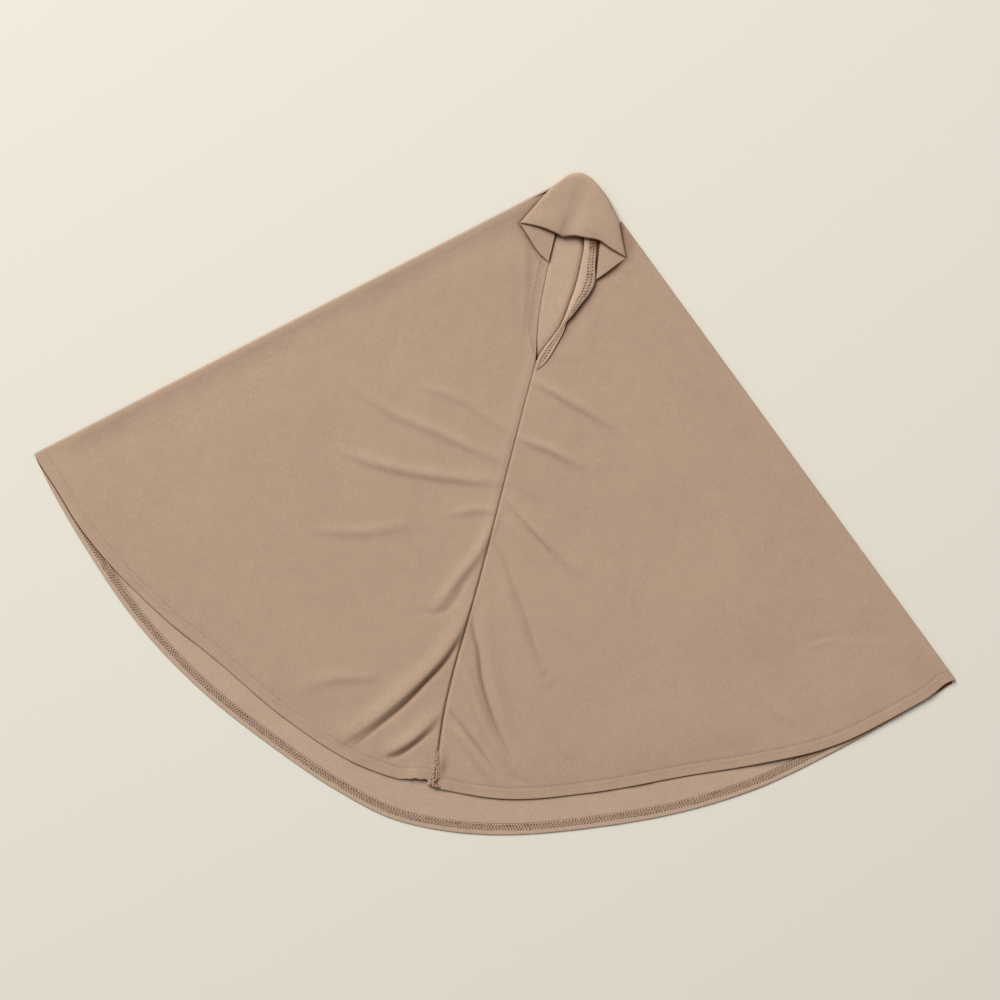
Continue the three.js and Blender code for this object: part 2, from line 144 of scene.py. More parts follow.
def keep_inside(x, y, distance):
    """The nearest places that lie the distance inside both side folds."""
    for side in (-1, 1):
        inward = side_line(side)[1]
        short = np.maximum(distance - (x * inward[0] + y * inward[1]), 0)
        x = x + short * inward[0]
        y = y + short * inward[1]
    return x, y


def hem_radius(layer, share):
    """Distance from the crown to a hem: a blend from the centre length to the side length that is round in
    the middle, plus the sag that the table gives as a share of the centre length. The front is drawn up by
    exp(-(distance / half width)^power) at the places of its own table."""
    share = np.asarray(share)
    centre, sag = (BACK_LENGTH, BACK_SAG) if layer == "back" else (FRONT_LENGTH, FRONT_SAG)
    side = np.where(share < 0, LEFT_LENGTH, RIGHT_LENGTH)
    bend = (np.hypot(share, HEM_ROUND) - HEM_ROUND) / (np.hypot(1, HEM_ROUND) - HEM_ROUND)
    radius = centre + (side - centre) * bend + curve(HEM_AT, sag, share) * centre
    if layer == "front":
        for lift, place, width, power in DRAWN_UP:
            radius = radius - lift * np.exp(-(np.abs((share - place) / width) ** power))
    return radius


def peak_section(across):
    """Where the folded crown starts at the back and where its front edge is folded, for shares across it."""
    rows = np.linspace(0, 1, len(PEAK_BACK_X))
    start = np.stack([curve(rows, PEAK_BACK_X, across) * PEAK_SPREAD,
                      -curve(rows, PEAK_BACK_Y, across) * PEAK_DEPTH], -1)
    fold = np.stack([curve(rows, PEAK_FOLD_X, across) * PEAK_SPREAD,
                     -curve(rows, PEAK_FOLD_Y, across) * PEAK_DEPTH], -1)
    return start, fold


def turned_rows(depth, count):
    """Rows that take a hem round its edge and back: how far each lies inside the edge, and how far it has
    moved to the turned side. They follow half a circle of radius HEM_TURN and then a flat strip."""
    angle = np.linspace(0, np.pi, 6)[1:]
    strip = np.linspace(HEM_TURN, depth, count)[1:]
    inset = np.concatenate([HEM_TURN * (1 - np.sin(angle)), strip])
    moved = np.concatenate([HEM_TURN * (1 - np.cos(angle)), np.full(len(strip), 2 * HEM_TURN)])
    return inset, moved


def grid_normals(middle):
    """Unit normals of a grid of points: the cross product of the steps along its rows and columns."""
    normal = np.cross(np.gradient(middle, axis=1), np.gradient(middle, axis=0))
    length = np.linalg.norm(normal, axis=-1, keepdims=True)
    return normal / np.maximum(length, 1e-9)


def grid_faces(rows, columns, first, flip):
    """Corner numbers of the quads of one grid of points that starts at number first."""
    row, column = np.meshgrid(np.arange(rows - 1), np.arange(columns - 1), indexing="ij")
    corner = first + row * columns + column
    quads = np.stack([corner, corner + 1, corner + columns + 1, corner + columns], -1).reshape(-1, 4)
    return quads[:, ::-1] if flip else quads


def put_mesh(name, points, quads, uv, painted_shade=None):
    """A smooth mesh object of points in millimetres from the crown, with its faces turned outwards: where
    the volume that the faces enclose comes out negative, they are all reversed. The last argument is the
    point attribute crease, which holds painted shade: how far the colour is darkened in creases and hollows."""
    a, b, c, d = (points[quads[:, k]] for k in range(4))
    volume = np.einsum("ij,ij->i", a, np.cross(b, c) + np.cross(c, d)).sum()
    if volume < 0:
        quads = quads[:, ::-1]
    mesh = bpy.data.meshes.new(name)
    mesh.vertices.add(len(points))
    mesh.vertices.foreach_set("co", ((points + [CROWN_X, CROWN_Y, 0]) * MM).astype(np.float32).ravel())
    mesh.loops.add(quads.size)
    mesh.loops.foreach_set("vertex_index", quads.astype(np.int32).ravel())
    mesh.polygons.add(len(quads))
    mesh.polygons.foreach_set("loop_start", np.arange(0, quads.size, 4, dtype=np.int32))
    mesh.update(calc_edges=True)
    layer = mesh.uv_layers.new(name="UVMap")
    layer.data.foreach_set("uv", uv[quads.ravel()].astype(np.float32).ravel())
    # The point attribute crease holds painted shade: how far the cloth's colour is darkened where shade
    # falls.
    if painted_shade is not None:
        mesh.attributes.new("crease", "FLOAT", "POINT").data.foreach_set("value", painted_shade.astype(np.float32))
    mesh.shade_smooth()
    mesh.set_sharp_from_angle(angle=np.radians(70))
    mesh.validate()
    piece = bpy.data.objects.new(name, mesh)
    bpy.context.scene.collection.objects.link(piece)
    return piece


def cloth_piece(name, middle, uv, thickness=CLOTH, painted_shade=None):
    """A closed sheet: the middle surface moved by half the thickness along its normals to both sides, with
    a rim of quads round its four edges."""
    rows, columns = middle.shape[:2]
    step = grid_normals(middle) * thickness / 2
    points = np.concatenate([(middle + step).reshape(-1, 3), (middle - step).reshape(-1, 3)])
    under = rows * columns
    number = np.arange(under).reshape(rows, columns)
    rim = np.concatenate([number[0, :], number[1:, -1], number[-1, -2::-1], number[-2:0:-1, 0]])
    after = np.roll(rim, -1)
    walls = np.stack([rim, rim + under, after + under, after], -1)
    upper_faces = grid_faces(rows, columns, 0, False)
    lower_faces = grid_faces(rows, columns, under, True)
    if painted_shade is not None:
        painted_shade = np.concatenate([painted_shade.ravel()] * 2)
    quads = np.concatenate([upper_faces, lower_faces, walls])
    return put_mesh(name, points, quads, np.concatenate([uv.reshape(-1, 2)] * 2), painted_shade)


def sewn_in(piece, slot, *nodes):
    """The piece lies with the whole garment and stands for CAD nodes, which it hides. The slot is not used.
    """
    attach(piece, "root")
    if nodes:
        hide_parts(*nodes)
    return piece


def group_tree(name, inputs, outputs):
    """An empty shader group with named sockets, and its two end nodes."""
    tree = bpy.data.node_groups.new(name, "ShaderNodeTree")
    for label, kind, value in inputs:
        socket = tree.interface.new_socket(label, in_out="INPUT", socket_type=kind)
        if value is not None:
            socket.default_value = value
    for label, kind in outputs:
        tree.interface.new_socket(label, in_out="OUTPUT", socket_type=kind)
    return tree, tree.nodes.new("NodeGroupInput"), tree.nodes.new("NodeGroupOutput")


def maths(tree, operation, first, second=None, third=None):
    """The output of one Math node. An input is a number or another node's output."""
    node = tree.nodes.new("ShaderNodeMath")
    node.operation = operation
    for socket, value in zip(node.inputs, (first, second, third)):
        if value is None:
            continue
        if isinstance(value, (int, float)):
            socket.default_value = value
        else:
            tree.links.new(value, socket)
    return node.outputs[0]


def noise(tree, vector, scale, detail, roughness=0.5):
    """The Factor output of a Noise Texture."""
    node = tree.nodes.new("ShaderNodeTexNoise")
    node.inputs["Scale"].default_value = scale
    node.inputs["Detail"].default_value = detail
    node.inputs["Roughness"].default_value = roughness
    tree.links.new(vector, node.inputs["Vector"])
    return node.outputs["Fac"]


def jersey_group():
    """Fine brushed jersey. Shade is 1 plus broad and small mottling. Height is rows of V-shaped knit
    stitches 0.7 mm wide under a fuzz of fine noise."""
    tree, source, result = group_tree(
        "Brushed Jersey", [("Vector", "NodeSocketVector", None), ("Mottle", "NodeSocketFloat", 0.1)],
        [("Shade", "NodeSocketFloat"), ("Height", "NodeSocketFloat")])
    vector = source.outputs["Vector"]
    broad = noise(tree, vector, 7.0, 3.0)
    small = noise(tree, vector, 75.0, 4.0, 0.6)
    fuzz = noise(tree, vector, 900.0, 3.0, 0.7)
    speck = noise(tree, vector, 420.0, 2.0, 0.6)
    both = maths(tree, "ADD", maths(tree, "MULTIPLY", broad, 0.6), maths(tree, "MULTIPLY", small, 0.6))
    both = maths(tree, "ADD", both, speck)
    both = maths(tree, "ADD", both, maths(tree, "MULTIPLY", fuzz, 3.0))
    centred = maths(tree, "SUBTRACT", both, 2.6)
    shade = maths(tree, "MULTIPLY_ADD", centred, source.outputs["Mottle"], 1.0)
    tree.links.new(shade, result.inputs["Shade"])
    split = tree.nodes.new("ShaderNodeSeparateXYZ")
    tree.links.new(vector, split.inputs[0])
    wale = maths(tree, "PINGPONG", maths(tree, "MULTIPLY", split.outputs["X"], 1 / 0.0007), 0.5)
    course = maths(tree, "ADD", maths(tree, "MULTIPLY", split.outputs["Y"], 1 / 0.0006), wale)
    loop = maths(tree, "PINGPONG", course, 0.5)
    height = maths(tree, "ADD", maths(tree, "MULTIPLY", loop, 0.7), maths(tree, "MULTIPLY", wale, 0.5))
    height = maths(tree, "ADD", height, fuzz)
    tree.links.new(height, result.inputs["Height"])
    return tree


def needle_group():
    """Needle holes of one row of machine stitches. Mask is 1 at a hole and 0 beyond Size from it: holes
    come every Pitch along the first UV axis, and the row lies at Row on the second. Soft noise moves them by
    up to a millimetre and changes their size a little. Sizes are millimetres."""
    tree, source, result = group_tree(
        "Needle Row", [("UV", "NodeSocketVector", None), ("Row", "NodeSocketFloat", 10.0),
                       ("Pitch", "NodeSocketFloat", 3.3), ("Shift", "NodeSocketFloat", 0.0),
                       ("Size", "NodeSocketFloat", 1.0)], [("Mask", "NodeSocketFloat")])
    unsteady = tree.nodes.new("ShaderNodeTexNoise")
    unsteady.inputs["Scale"].default_value = 0.14
    unsteady.inputs["Detail"].default_value = 1.0
    tree.links.new(source.outputs["UV"], unsteady.inputs["Vector"])
    swayed = tree.nodes.new("ShaderNodeVectorMath")
    swayed.operation = "MULTIPLY_ADD"
    swayed.inputs[1].default_value = (2.4, 2.0, 0)
    tree.links.new(unsteady.outputs["Color"], swayed.inputs[0])
    tree.links.new(source.outputs["UV"], swayed.inputs[2])
    split = tree.nodes.new("ShaderNodeSeparateXYZ")
    tree.links.new(swayed.outputs[0], split.inputs[0])
    moved = maths(tree, "ADD", split.outputs["X"], source.outputs["Shift"])
    along = maths(tree, "PINGPONG", moved, maths(tree, "MULTIPLY", source.outputs["Pitch"], 0.5))
    across = maths(tree, "SUBTRACT", maths(tree, "SUBTRACT", split.outputs["Y"], 1.0), source.outputs["Row"])
    far = maths(tree, "SQRT", maths(tree, "ADD", maths(tree, "POWER", along, 2.0),
                                    maths(tree, "POWER", maths(tree, "ABSOLUTE", across), 2.0)))
    share = maths(tree, "DIVIDE", far, source.outputs["Size"])
    share = maths(tree, "MULTIPLY", share, maths(tree, "ADD", unsteady.outputs["Fac"], 0.45))
    smooth = tree.nodes.new("ShaderNodeMapRange")
    smooth.interpolation_type = "SMOOTHSTEP"
    smooth.inputs["To Min"].default_value = 1.0
    smooth.inputs["To Max"].default_value = 0.0
    tree.links.new(share, smooth.inputs["Value"])
    tree.links.new(smooth.outputs["Result"], result.inputs["Mask"])
    return tree


JERSEY = jersey_group()
NEEDLES = needle_group()
# Painted shade: the needle holes are painted nearly black for the shade in them, and creases, hollows and the
# cloth beside edges are painted towards a dark red-brown for the shade that falls there.
NEEDLE_HOLE_SHADE = (0.06, 0.018, 0.008)
PAINTED_SHADE_COLOUR = (0.14, 0.042, 0.017)
HOLLOW_REACH = 0.011  # how near other cloth has to be to close a hollow
HOLLOW_START = 0.2  # share of the view that may be closed before the painted shade starts
HOLLOW_SHADE_GAIN = 3.3  # how fast it does
PAINTED_SHADE_GAIN = 1.4  # how strongly a piece's own painted shade attribute shows
MOTTLE = 0.2
FUZZ = 0.3  # height of the knit in the bump
HOLE_DEPTH = 0.8  # depth of a needle hole in the bump


def mixed_in(tree, first, colour, share):
    """The first colour with a share of a second one mixed in."""
    node = tree.nodes.new("ShaderNodeMix")
    node.data_type = "RGBA"
    node.clamp_factor = True
    tree.links.new(share, node.inputs["Factor"])
    tree.links.new(first, node.inputs["A"])
    node.inputs["B"].default_value = (*colour, 1)
    return node.outputs["Result"]


def jersey(name, colour, rows=()):
    """Matte jersey of a colour with painted shade: browner where other cloth closes it in, by ambient
    occlusion, and where the piece's crease attribute of painted shade says. rows are the needle rows sewn
    along the piece's UV map: the place on the second axis, the shift along the first, the size of a hole,
    and how dark the painted shade in it is."""
    material = bpy.data.materials.new(name)
    material.use_nodes = True
    tree = material.node_tree
    shader = tree.nodes["Principled BSDF"]
    shader.inputs["Roughness"].default_value = 0.95
    shader.inputs["Specular IOR Level"].default_value = 0.05
    shader.inputs["Sheen Weight"].default_value = 0.03
    shader.inputs["Sheen Roughness"].default_value = 0.6
    shader.inputs["Sheen Tint"].default_value = (0.95, 0.84, 0.74, 1)
    place = tree.nodes.new("ShaderNodeTexCoord")
    cloth = tree.nodes.new("ShaderNodeGroup")
    cloth.node_tree = JERSEY
    cloth.inputs["Mottle"].default_value = MOTTLE
    tree.links.new(place.outputs["Object"], cloth.inputs["Vector"])
    shaded = tree.nodes.new("ShaderNodeVectorMath")
    shaded.operation = "SCALE"
    shaded.inputs[0].default_value = colour
    tree.links.new(cloth.outputs["Shade"], shaded.inputs["Scale"])
    # Painted shade: the colour is mixed towards a dark red-brown by the crease attribute and by how closely
    # other cloth closes the surface in.
    shade_attribute = tree.nodes.new("ShaderNodeAttribute")
    shade_attribute.attribute_name = "crease"
    painted_shade_factor = maths(tree, "MULTIPLY", shade_attribute.outputs["Fac"], PAINTED_SHADE_GAIN)
    open_share = tree.nodes.new("ShaderNodeAmbientOcclusion")
    open_share.samples = 8
    open_share.inputs["Distance"].default_value = HOLLOW_REACH
    closed = maths(tree, "SUBTRACT", 1 - HOLLOW_START, open_share.outputs["AO"])
    closed = maths(tree, "MULTIPLY", closed, HOLLOW_SHADE_GAIN)
    shaded_colour = mixed_in(tree, shaded.outputs[0], PAINTED_SHADE_COLOUR, maths(tree, "MAXIMUM", closed, painted_shade_factor))
    height = maths(tree, "MULTIPLY", cloth.outputs["Height"], FUZZ)
    for row, shift, size, dark in rows:
        needle = tree.nodes.new("ShaderNodeGroup")
        needle.node_tree = NEEDLES
        tree.links.new(place.outputs["UV"], needle.inputs["UV"])
        needle.inputs["Row"].default_value = row
        needle.inputs["Shift"].default_value = shift
        needle.inputs["Size"].default_value = size
        # Painted shade in each needle hole, which is also dented in the bump.
        hole = maths(tree, "MULTIPLY", needle.outputs["Mask"], dark)
        shaded_colour = mixed_in(tree, shaded_colour, NEEDLE_HOLE_SHADE, hole)
        height = maths(tree, "SUBTRACT", height, maths(tree, "MULTIPLY", hole, HOLE_DEPTH))
    tree.links.new(shaded_colour, shader.inputs["Base Color"])
    bump = tree.nodes.new("ShaderNodeBump")
    bump.inputs["Strength"].default_value = 0.35
    bump.inputs["Distance"].default_value = 0.0006
    tree.links.new(height, bump.inputs["Height"])
    tree.links.new(bump.outputs["Normal"], shader.inputs["Normal"])
    return material


def finish_with(piece, material):
    """The whole piece takes one material."""
    piece.data.materials.append(material)


def opening_x(edge, down):
    """Sideways place of an edge of the face opening at a distance down from the crown."""
    return curve(OPENING_AT, edge, down / OPENING_FOOT) * OPENING_WIDTH


def back_rise(x, y):
    """Unevenness of the back layer: soft waves that die out at the sides and under the seam, and a swell
    between the edges of the face opening."""
    from_sides = np.minimum(*(x * side_line(s)[1][0] + y * side_line(s)[1][1] for s in (-1, 1)))
    calm = ramp(from_sides, 8, 60) * ramp(np.abs(x + 8), 10, 40)
    rise = np.clip(0.14 * (1 + waves(x, y, 3, 50, 150)) + 0.07 * waves(x, y, 4, 16, 40), 0, 0.3) * calm
    inside = ramp(x - opening_x(OPENING_LEFT, -y), -3, 4) * ramp(opening_x(OPENING_RIGHT, -y) - x, 0, 7)
    return rise + OPENING_SWELL * inside * ramp(-y, 45, 70) * (1 - ramp(-y, 190, OPENING_FOOT))


def back_painted_shadow(x, y):
    """Painted shadow on the back just outside the front's hem: darkest where the two hems lie together at the
    corners, then along the right half, where the light comes from behind the front."""
    share = drape_share(x, y)
    outside = np.hypot(x, y) - hem_radius("front", share)
    left_corner, right_corner = ramp(-share, 0.68, 0.84), ramp(share, 0.9, 0.96)
    strength = 0.65 * ramp(share, -0.06, 0.2) + 0.35 * right_corner + 0.95 * left_corner
    reach = 1.5 + 2.5 * right_corner + 0.8 * left_corner
    return strength * (1 - ramp(outside, 0.4 * reach, reach)) * (outside > -9)


def back_surface():
    """Middle of the back layer. A row runs from the turned crown to the hem along straight lines, then round
    the hem's edge and back on top."""
    across = np.linspace(0, 1, 201)
    share = 2 * across - 1
    start, fold = peak_section(across)
    direction = fold - start
    direction /= np.linalg.norm(direction, axis=1, keepdims=True)
    top = start + direction * BACK_START
    down = np.concatenate([np.linspace(0, 0.9, 90), np.linspace(0.9, 1, 75)[1:]])
    turn_inset, turn_moved = turned_rows(HEM_DEPTH, 22)
    inset = np.concatenate([np.full(len(down), HEM_TURN), turn_inset])[:, None]
    moved = np.concatenate([np.zeros(len(down)), turn_moved])[:, None]
    down = np.concatenate([down, np.ones(len(turn_inset))])[:, None]
    foot_x, foot_y = on_drape(share, hem_radius("back", share) - inset)
    x = top[:, 0] + (foot_x - top[:, 0]) * down
    y = top[:, 1] + (foot_y - top[:, 1]) * down
    x, y = keep_inside(x, y, SIDE_REACH)
    edge = hem_radius("back", share) - np.hypot(x, y)
    middle = np.stack([x, y, CLEAR + CLOTH / 2 + back_rise(x, y) + moved], -1)
    arc = np.concatenate([[0], np.cumsum(np.hypot(np.diff(x[-1]), np.diff(y[-1])))])
    away = np.where(moved > 0.8 * HEM_TURN, 1, -1) * np.maximum(edge, 0.01)
    return middle, np.stack([np.broadcast_to(arc, x.shape), away], -1)


INSIDE_COLOUR = (0.49, 0.356, 0.263)
BACK_NEEDLES = [(5.2, 0.0, 1.35, 0.95), (7.7, 1.65, 1.25, 0.85), (10.2, 0.0, 1.5, 1.0)]

middle, uv = back_surface()
drape_back = cloth_piece("drape_back", middle, uv, painted_shade=back_painted_shadow(middle[..., 0], middle[..., 1]))
finish_with(drape_back, jersey("jersey_inside", INSIDE_COLOUR, rows=BACK_NEEDLES))
sewn_in(drape_back, "jersey_inside", "back_panel", "back_hem")


# The two fronts of the drape
# The same jersey with its outside up, one half on each side of the centre seam. Each half is cut in one with
# the back and goes round at the side in a soft roll. Its hem is turned under and sewn.

SEAM_LENGTH = FRONT_LENGTH - OPENING_FOOT
SEAM_SWAY = 13.0
SEAM_GAP = 0.15
GROOVE_DEPTH = 0.8  # of the seam's groove at its top
GROOVE_DEEPER = 1.7  # and how much more it is at its foot
GROOVE_WIDTH = {-1: 0.9, 1: 1.4}  # on its left and right side
BAND_WIDTH = 10.0
UNDER_ROLL = 5.0  # the unit of OPENING_ROLL, the reach of the right half under its rolled band
FRONT_LEVEL = 3.9  # middle of the front layer over the surface
HEM_LEVEL = 2.4  # and of its hem, where that lies on one layer
LOWEST = 1.4
FRONT_TOP = {-1: 33.0, 1: 70.0}  # where each half starts, under the folded crown
EDGE_DROP = {-1: 2.5, 1: 1.5}  # how far each half comes down beside the opening
EDGE_SPREAD = 18.0
FOOT_LIFT = 2.4  # how far the hem stands up at the left of the seam's foot
FINE_COLUMN = 1.35  # widths of the grid's columns, of WAY_ACROSS from the seam to the side fold
COARSE_COLUMN = 8.0
WAY_ACROSS = 600

SEAM_AT = [0, 0.25, 0.5, 0.8, 1]
SEAM_SIDE = [-0.25, -0.45, -0.63, -1, -0.35]
OPENING_ROLL = [0.7, 0.72, 0.98, 0.92, 0.3, 0.42, 0.5, 0.3]

# Height of the side rolls over the front, by distance from the fold
ROLL_AT = [0, 4, 11, 21, 34, 50]
ROLL_HEIGHT = {-1: [1.5, 1.4, 0.5, -0.25, -0.2, 0], 1: [0.2, 0.9, 2.2, 2.7, 1.1, 0]}

# Folds and creases of the front: height, width on the upper side, width on the lower side, how dark the
# painted shade of its crease is, and the places that the line goes through, each as its distance from the
# centre line and down from the opening's foot, in shares of SEAM_LENGTH, from left to right
FOLDS = [
    (1.3, 5, 4, 0.03, [(-0.25, 0.112), (-0.15, 0.124), (-0.1, 0.144), (-0.03, 0.17)]),
    (1.7, 6, 4.5, 0.05, [(-0.38, 0.158), (-0.3, 0.19), (-0.2, 0.206), (-0.1, 0.226), (-0.01, 0.242)]),
    (2.0, 7, 5, 0.07, [(-0.4, 0.3), (-0.3, 0.31), (-0.2, 0.308), (-0.1, 0.298), (-0.01, 0.286)]),
    (1.2, 5.5, 4.5, 0.03, [(-0.12, 0.385), (-0.06, 0.36), (-0.01, 0.353)]),
    (1.3, 6, 5, 0.04, [(-0.42, 0.492), (-0.3, 0.468), (-0.2, 0.425)]),
    (1.9, 7, 5, 0.05, [(-0.105, 0.605), (-0.085, 0.57), (-0.065, 0.52), (-0.04, 0.47), (-0.018, 0.4),
                       (-0.015, 0.34)]),
    (-0.8, 3.5, 4, 0.08, [(-0.15, 0.618), (-0.09, 0.607), (-0.065, 0.582), (-0.05, 0.535), (-0.03, 0.48)]),
    (3.7, 12, 5, 0.14, [(-0.25, 0.955), (-0.19, 0.893), (-0.138, 0.828), (-0.095, 0.765), (-0.058, 0.7),
                          (-0.034, 0.63), (-0.024, 0.55)]),
    (-1.7, 2.8, 3.4, 0.5, [(-0.21, 0.95), (-0.16, 0.885), (-0.12, 0.832), (-0.085, 0.773), (-0.05, 0.712),
                          (-0.03, 0.65)]),
    (3.0, 9, 4.5, 0.1, [(-0.14, 0.952), (-0.105, 0.925), (-0.07, 0.885), (-0.035, 0.825)]),
    (-1.2, 3, 3.5, 0.4, [(-0.13, 0.955), (-0.1, 0.94), (-0.07, 0.906), (-0.035, 0.86)]),
    (1.5, 6, 5, 0.05, [(-0.37, 0.86), (-0.3, 0.813), (-0.25, 0.797), (-0.19, 0.784)]),
    (1.2, 6, 5, 0.04, [(-0.1, -0.27), (-0.07, -0.16), (-0.05, -0.03)]),
    (2.2, 5, 4, 0.08, [(-0.005, 0.045), (0.05, 0.058), (0.1, 0.073), (0.15, 0.089), (0.21, 0.111)]),
    (2.2, 5, 4, 0.07, [(-0.01, 0.178), (0.05, 0.185), (0.1, 0.195), (0.16, 0.214)]),
    (-0.8, 6, 5, 0.04, [(0.0, 0.28), (0.05, 0.31), (0.1, 0.335)]),
    (2.4, 5, 4, 0.09, [(-0.005, 0.316), (0.05, 0.354), (0.1, 0.387), (0.15, 0.42), (0.21, 0.45)]),
    (0.9, 3.5, 3.5, 0.04, [(0.02, 0.36), (0.06, 0.41), (0.1, 0.45)]),
    (-1.3, 3, 3, 0.12, [(0.0, 0.425), (0.03, 0.46), (0.06, 0.51), (0.1, 0.565), (0.15, 0.65), (0.2, 0.725),
                        (0.22, 0.79)]),
    (1.2, 4, 4, 0.0, [(0.02, 0.49), (0.06, 0.545), (0.1, 0.605), (0.16, 0.685)]),
    (1.6, 9, 6, 0.0, [(0.0, 0.57), (0.045, 0.68), (0.1, 0.79), (0.14, 0.85)]),
    (-2.4, 3, 3, 0.4, [(-0.015, 0.6), (0.0, 0.64), (0.02, 0.68), (0.04, 0.735), (0.07, 0.79), (0.1, 0.835),
                       (0.15, 0.895)]),
    (2.8, 5, 7, 0.06, [(-0.015, 0.7), (0.028, 0.765), (0.06, 0.815), (0.1, 0.866), (0.145, 0.912)]),
    (-1.5, 3, 3, 0.25, [(-0.02, 0.815), (0.03, 0.855), (0.083, 0.898), (0.13, 0.94)]),
    (1.8, 5, 6, 0.04, [(-0.01, 0.85), (0.03, 0.875), (0.08, 0.917), (0.13, 0.957)]),
    (-0.6, 5, 6, 0.04, [(0.2, 0.81), (0.25, 0.85), (0.33, 0.885)]),
    (-0.6, 4, 4, 0.04, [(0.15, 0.93), (0.21, 0.943)]),
    (-0.5, 5, 6, 0.03, [(0.1, -0.236), (0.18, -0.24)]),
    (-0.5, 4, 5, 0.03, [(0.02, -0.012), (0.11, -0.014)]),
    (0.6, 3, 4, 0.0, [(0.745, 0.492), (0.79, 0.466), (0.87, 0.449), (0.91, 0.448)]),
    (-0.4, 3, 3, 0.05, [(0.745, 0.48), (0.79, 0.454), (0.87, 0.437), (0.91, 0.436)]),
    (1.0, 4, 5, 0.04, [(0.68, 0.62), (0.717, 0.645), (0.79, 0.673)]),
    (-1.2, 6, 6, 0.1, [(-0.114, -0.297), (-0.089, -0.27), (-0.06, -0.243), (-0.029, -0.224)]),
    (-1.4, 6, 6, 0.14, [(0.085, -0.208), (0.108, -0.229), (0.128, -0.253), (0.141, -0.276)]),
    (-1.6, 8, 8, 0.16, [(0.13, -0.345), (0.142, -0.315), (0.15, -0.28)]),
]


# Outline of the rolled band on the right half: distance down from the crown, and its two sides
BAND_AT = [70, 84, 100, 118, 132, 146, 158, 168, 176, 186, 198, 210, 219, 225]
BAND_INNER = [17.0, 20.0, 20.8, 21.0, 20.3, 18.6, 17.4, 15.8, 13.6, 9.4, 3.8, -0.8, -1.8, -0.8]
BAND_OUTER = [31.0, 34.0, 36.5, 40.2, 37.0, 30.3, 25.0, 19.6, 19.4, 17.2, 13.8, 10.0, 5.4, 0.4]

# The pleats under the crown's corners: their free and tucked edges in shares of PEAK_SPREAD and PEAK_DEPTH,
# their height, and the radius of the free edge
PLEATS = {
    "left": dict(free_x=[-0.612, -0.48, -0.32, -0.165], free_y=[0.955, 1.1, 1.28, 1.39],
                 tucked_x=[-0.56, -0.42, -0.28, -0.165], tucked_y=[0.9, 0.86, 0.84, 0.84],
                 level=[6.3, 5.8, 4.7, 3.8], turn=[0.8, 0.8, 0.7, 0.4]),
    "right": dict(free_x=[0.452, 0.55, 0.65, 0.747], free_y=[1.487, 1.36, 1.22, 1.09],
                  tucked_x=[0.39, 0.49, 0.6, 0.7], tucked_y=[0.9, 0.9, 0.92, 0.97],
                  level=[5.7, 6.1, 6.3, 6.3], turn=[0.7, 0.8, 0.8, 0.8]),
}


def pleat_edge(table):
    """Corners of a pleat's free edge, from left to right."""
    return [(x * PEAK_SPREAD, -y * PEAK_DEPTH) for x, y in zip(table["free_x"], table["free_y"])]


# Edges that lie on each half and cast painted shadow on it: the crown's side, its pleat and the rolled band,
# from top to foot
CROWN_SIDE = [(PEAK_BACK_X[-1] * PEAK_SPREAD, -PEAK_BACK_Y[-1] * PEAK_DEPTH),
              (PEAK_FOLD_X[-1] * PEAK_SPREAD, -PEAK_FOLD_Y[-1] * PEAK_DEPTH)]
BAND_SIDE = [(outer, -down) for outer, down in zip(BAND_OUTER[3:-2], BAND_AT[3:-2])]
EDGES_ON = {
    -1: pleat_edge(PLEATS["left"]),
    1: CROWN_SIDE + pleat_edge(PLEATS["right"])[-2::-1] + BAND_SIDE,
}
EDGE_SHADE = {-1: (0.5, 2.4), 1: (0.5, 4.6)}  # how dark the painted shadow beside them is, and how far it reaches


def seam_x(down):
    """Sideways place of the seam at a distance down from the crown."""
    return curve(SEAM_AT, SEAM_SIDE, (down - OPENING_FOOT) / SEAM_LENGTH) * SEAM_SWAY


def band_width(down):
    """Width of the flat band at the left of the opening, which runs out at the foot."""
    return BAND_WIDTH * np.clip((OPENING_FOOT - down) / (3 * BAND_WIDTH), 0.2, 1)


def inner_edge(side, radius):
    """Sideways place where a half ends: at the seam, or beside the opening under its band."""
    seam = seam_x(radius) + side * SEAM_GAP
    if side < 0:
        edge = opening_x(OPENING_LEFT, radius) - band_width(radius)
    else:
        covered = curve(OPENING_AT, OPENING_ROLL, radius / OPENING_FOOT) * UNDER_ROLL
        edge = opening_x(OPENING_RIGHT, radius) + covered
    joined = edge + (seam - edge) * ramp(radius, OPENING_FOOT - 6, OPENING_FOOT)
    return np.where(radius > OPENING_FOOT, seam, joined)


def line_distance(x, y, places):
    """Distance from each point to a smooth line through places, the share of the way along it of the
    nearest point, and whether the point lies on its upper side."""
    places = np.array(places) * SEAM_LENGTH
    steps = np.linspace(0, len(places) - 1, 5 * (len(places) - 1) + 1)
    line_x = curve(np.arange(len(places)), places[:, 0], steps)
    line_y = -OPENING_FOOT - curve(np.arange(len(places)), places[:, 1], steps)
    best = np.full(x.shape, 1e9)
    along = np.zeros(x.shape)
    above = np.zeros(x.shape, bool)
    for k in range(len(steps) - 1):
        run_x, run_y = line_x[k + 1] - line_x[k], line_y[k + 1] - line_y[k]
        share = np.clip(((x - line_x[k]) * run_x + (y - line_y[k]) * run_y) / (run_x**2 + run_y**2), 0, 1)
        off_x, off_y = x - line_x[k] - share * run_x, y - line_y[k] - share * run_y
        away = np.hypot(off_x, off_y)
        nearer = away < best
        best = np.where(nearer, away, best)
        along = np.where(nearer, (k + share) / (len(steps) - 1), along)
        above = np.where(nearer, run_x * off_y - run_y * off_x > 0, above)
    return best, along, above


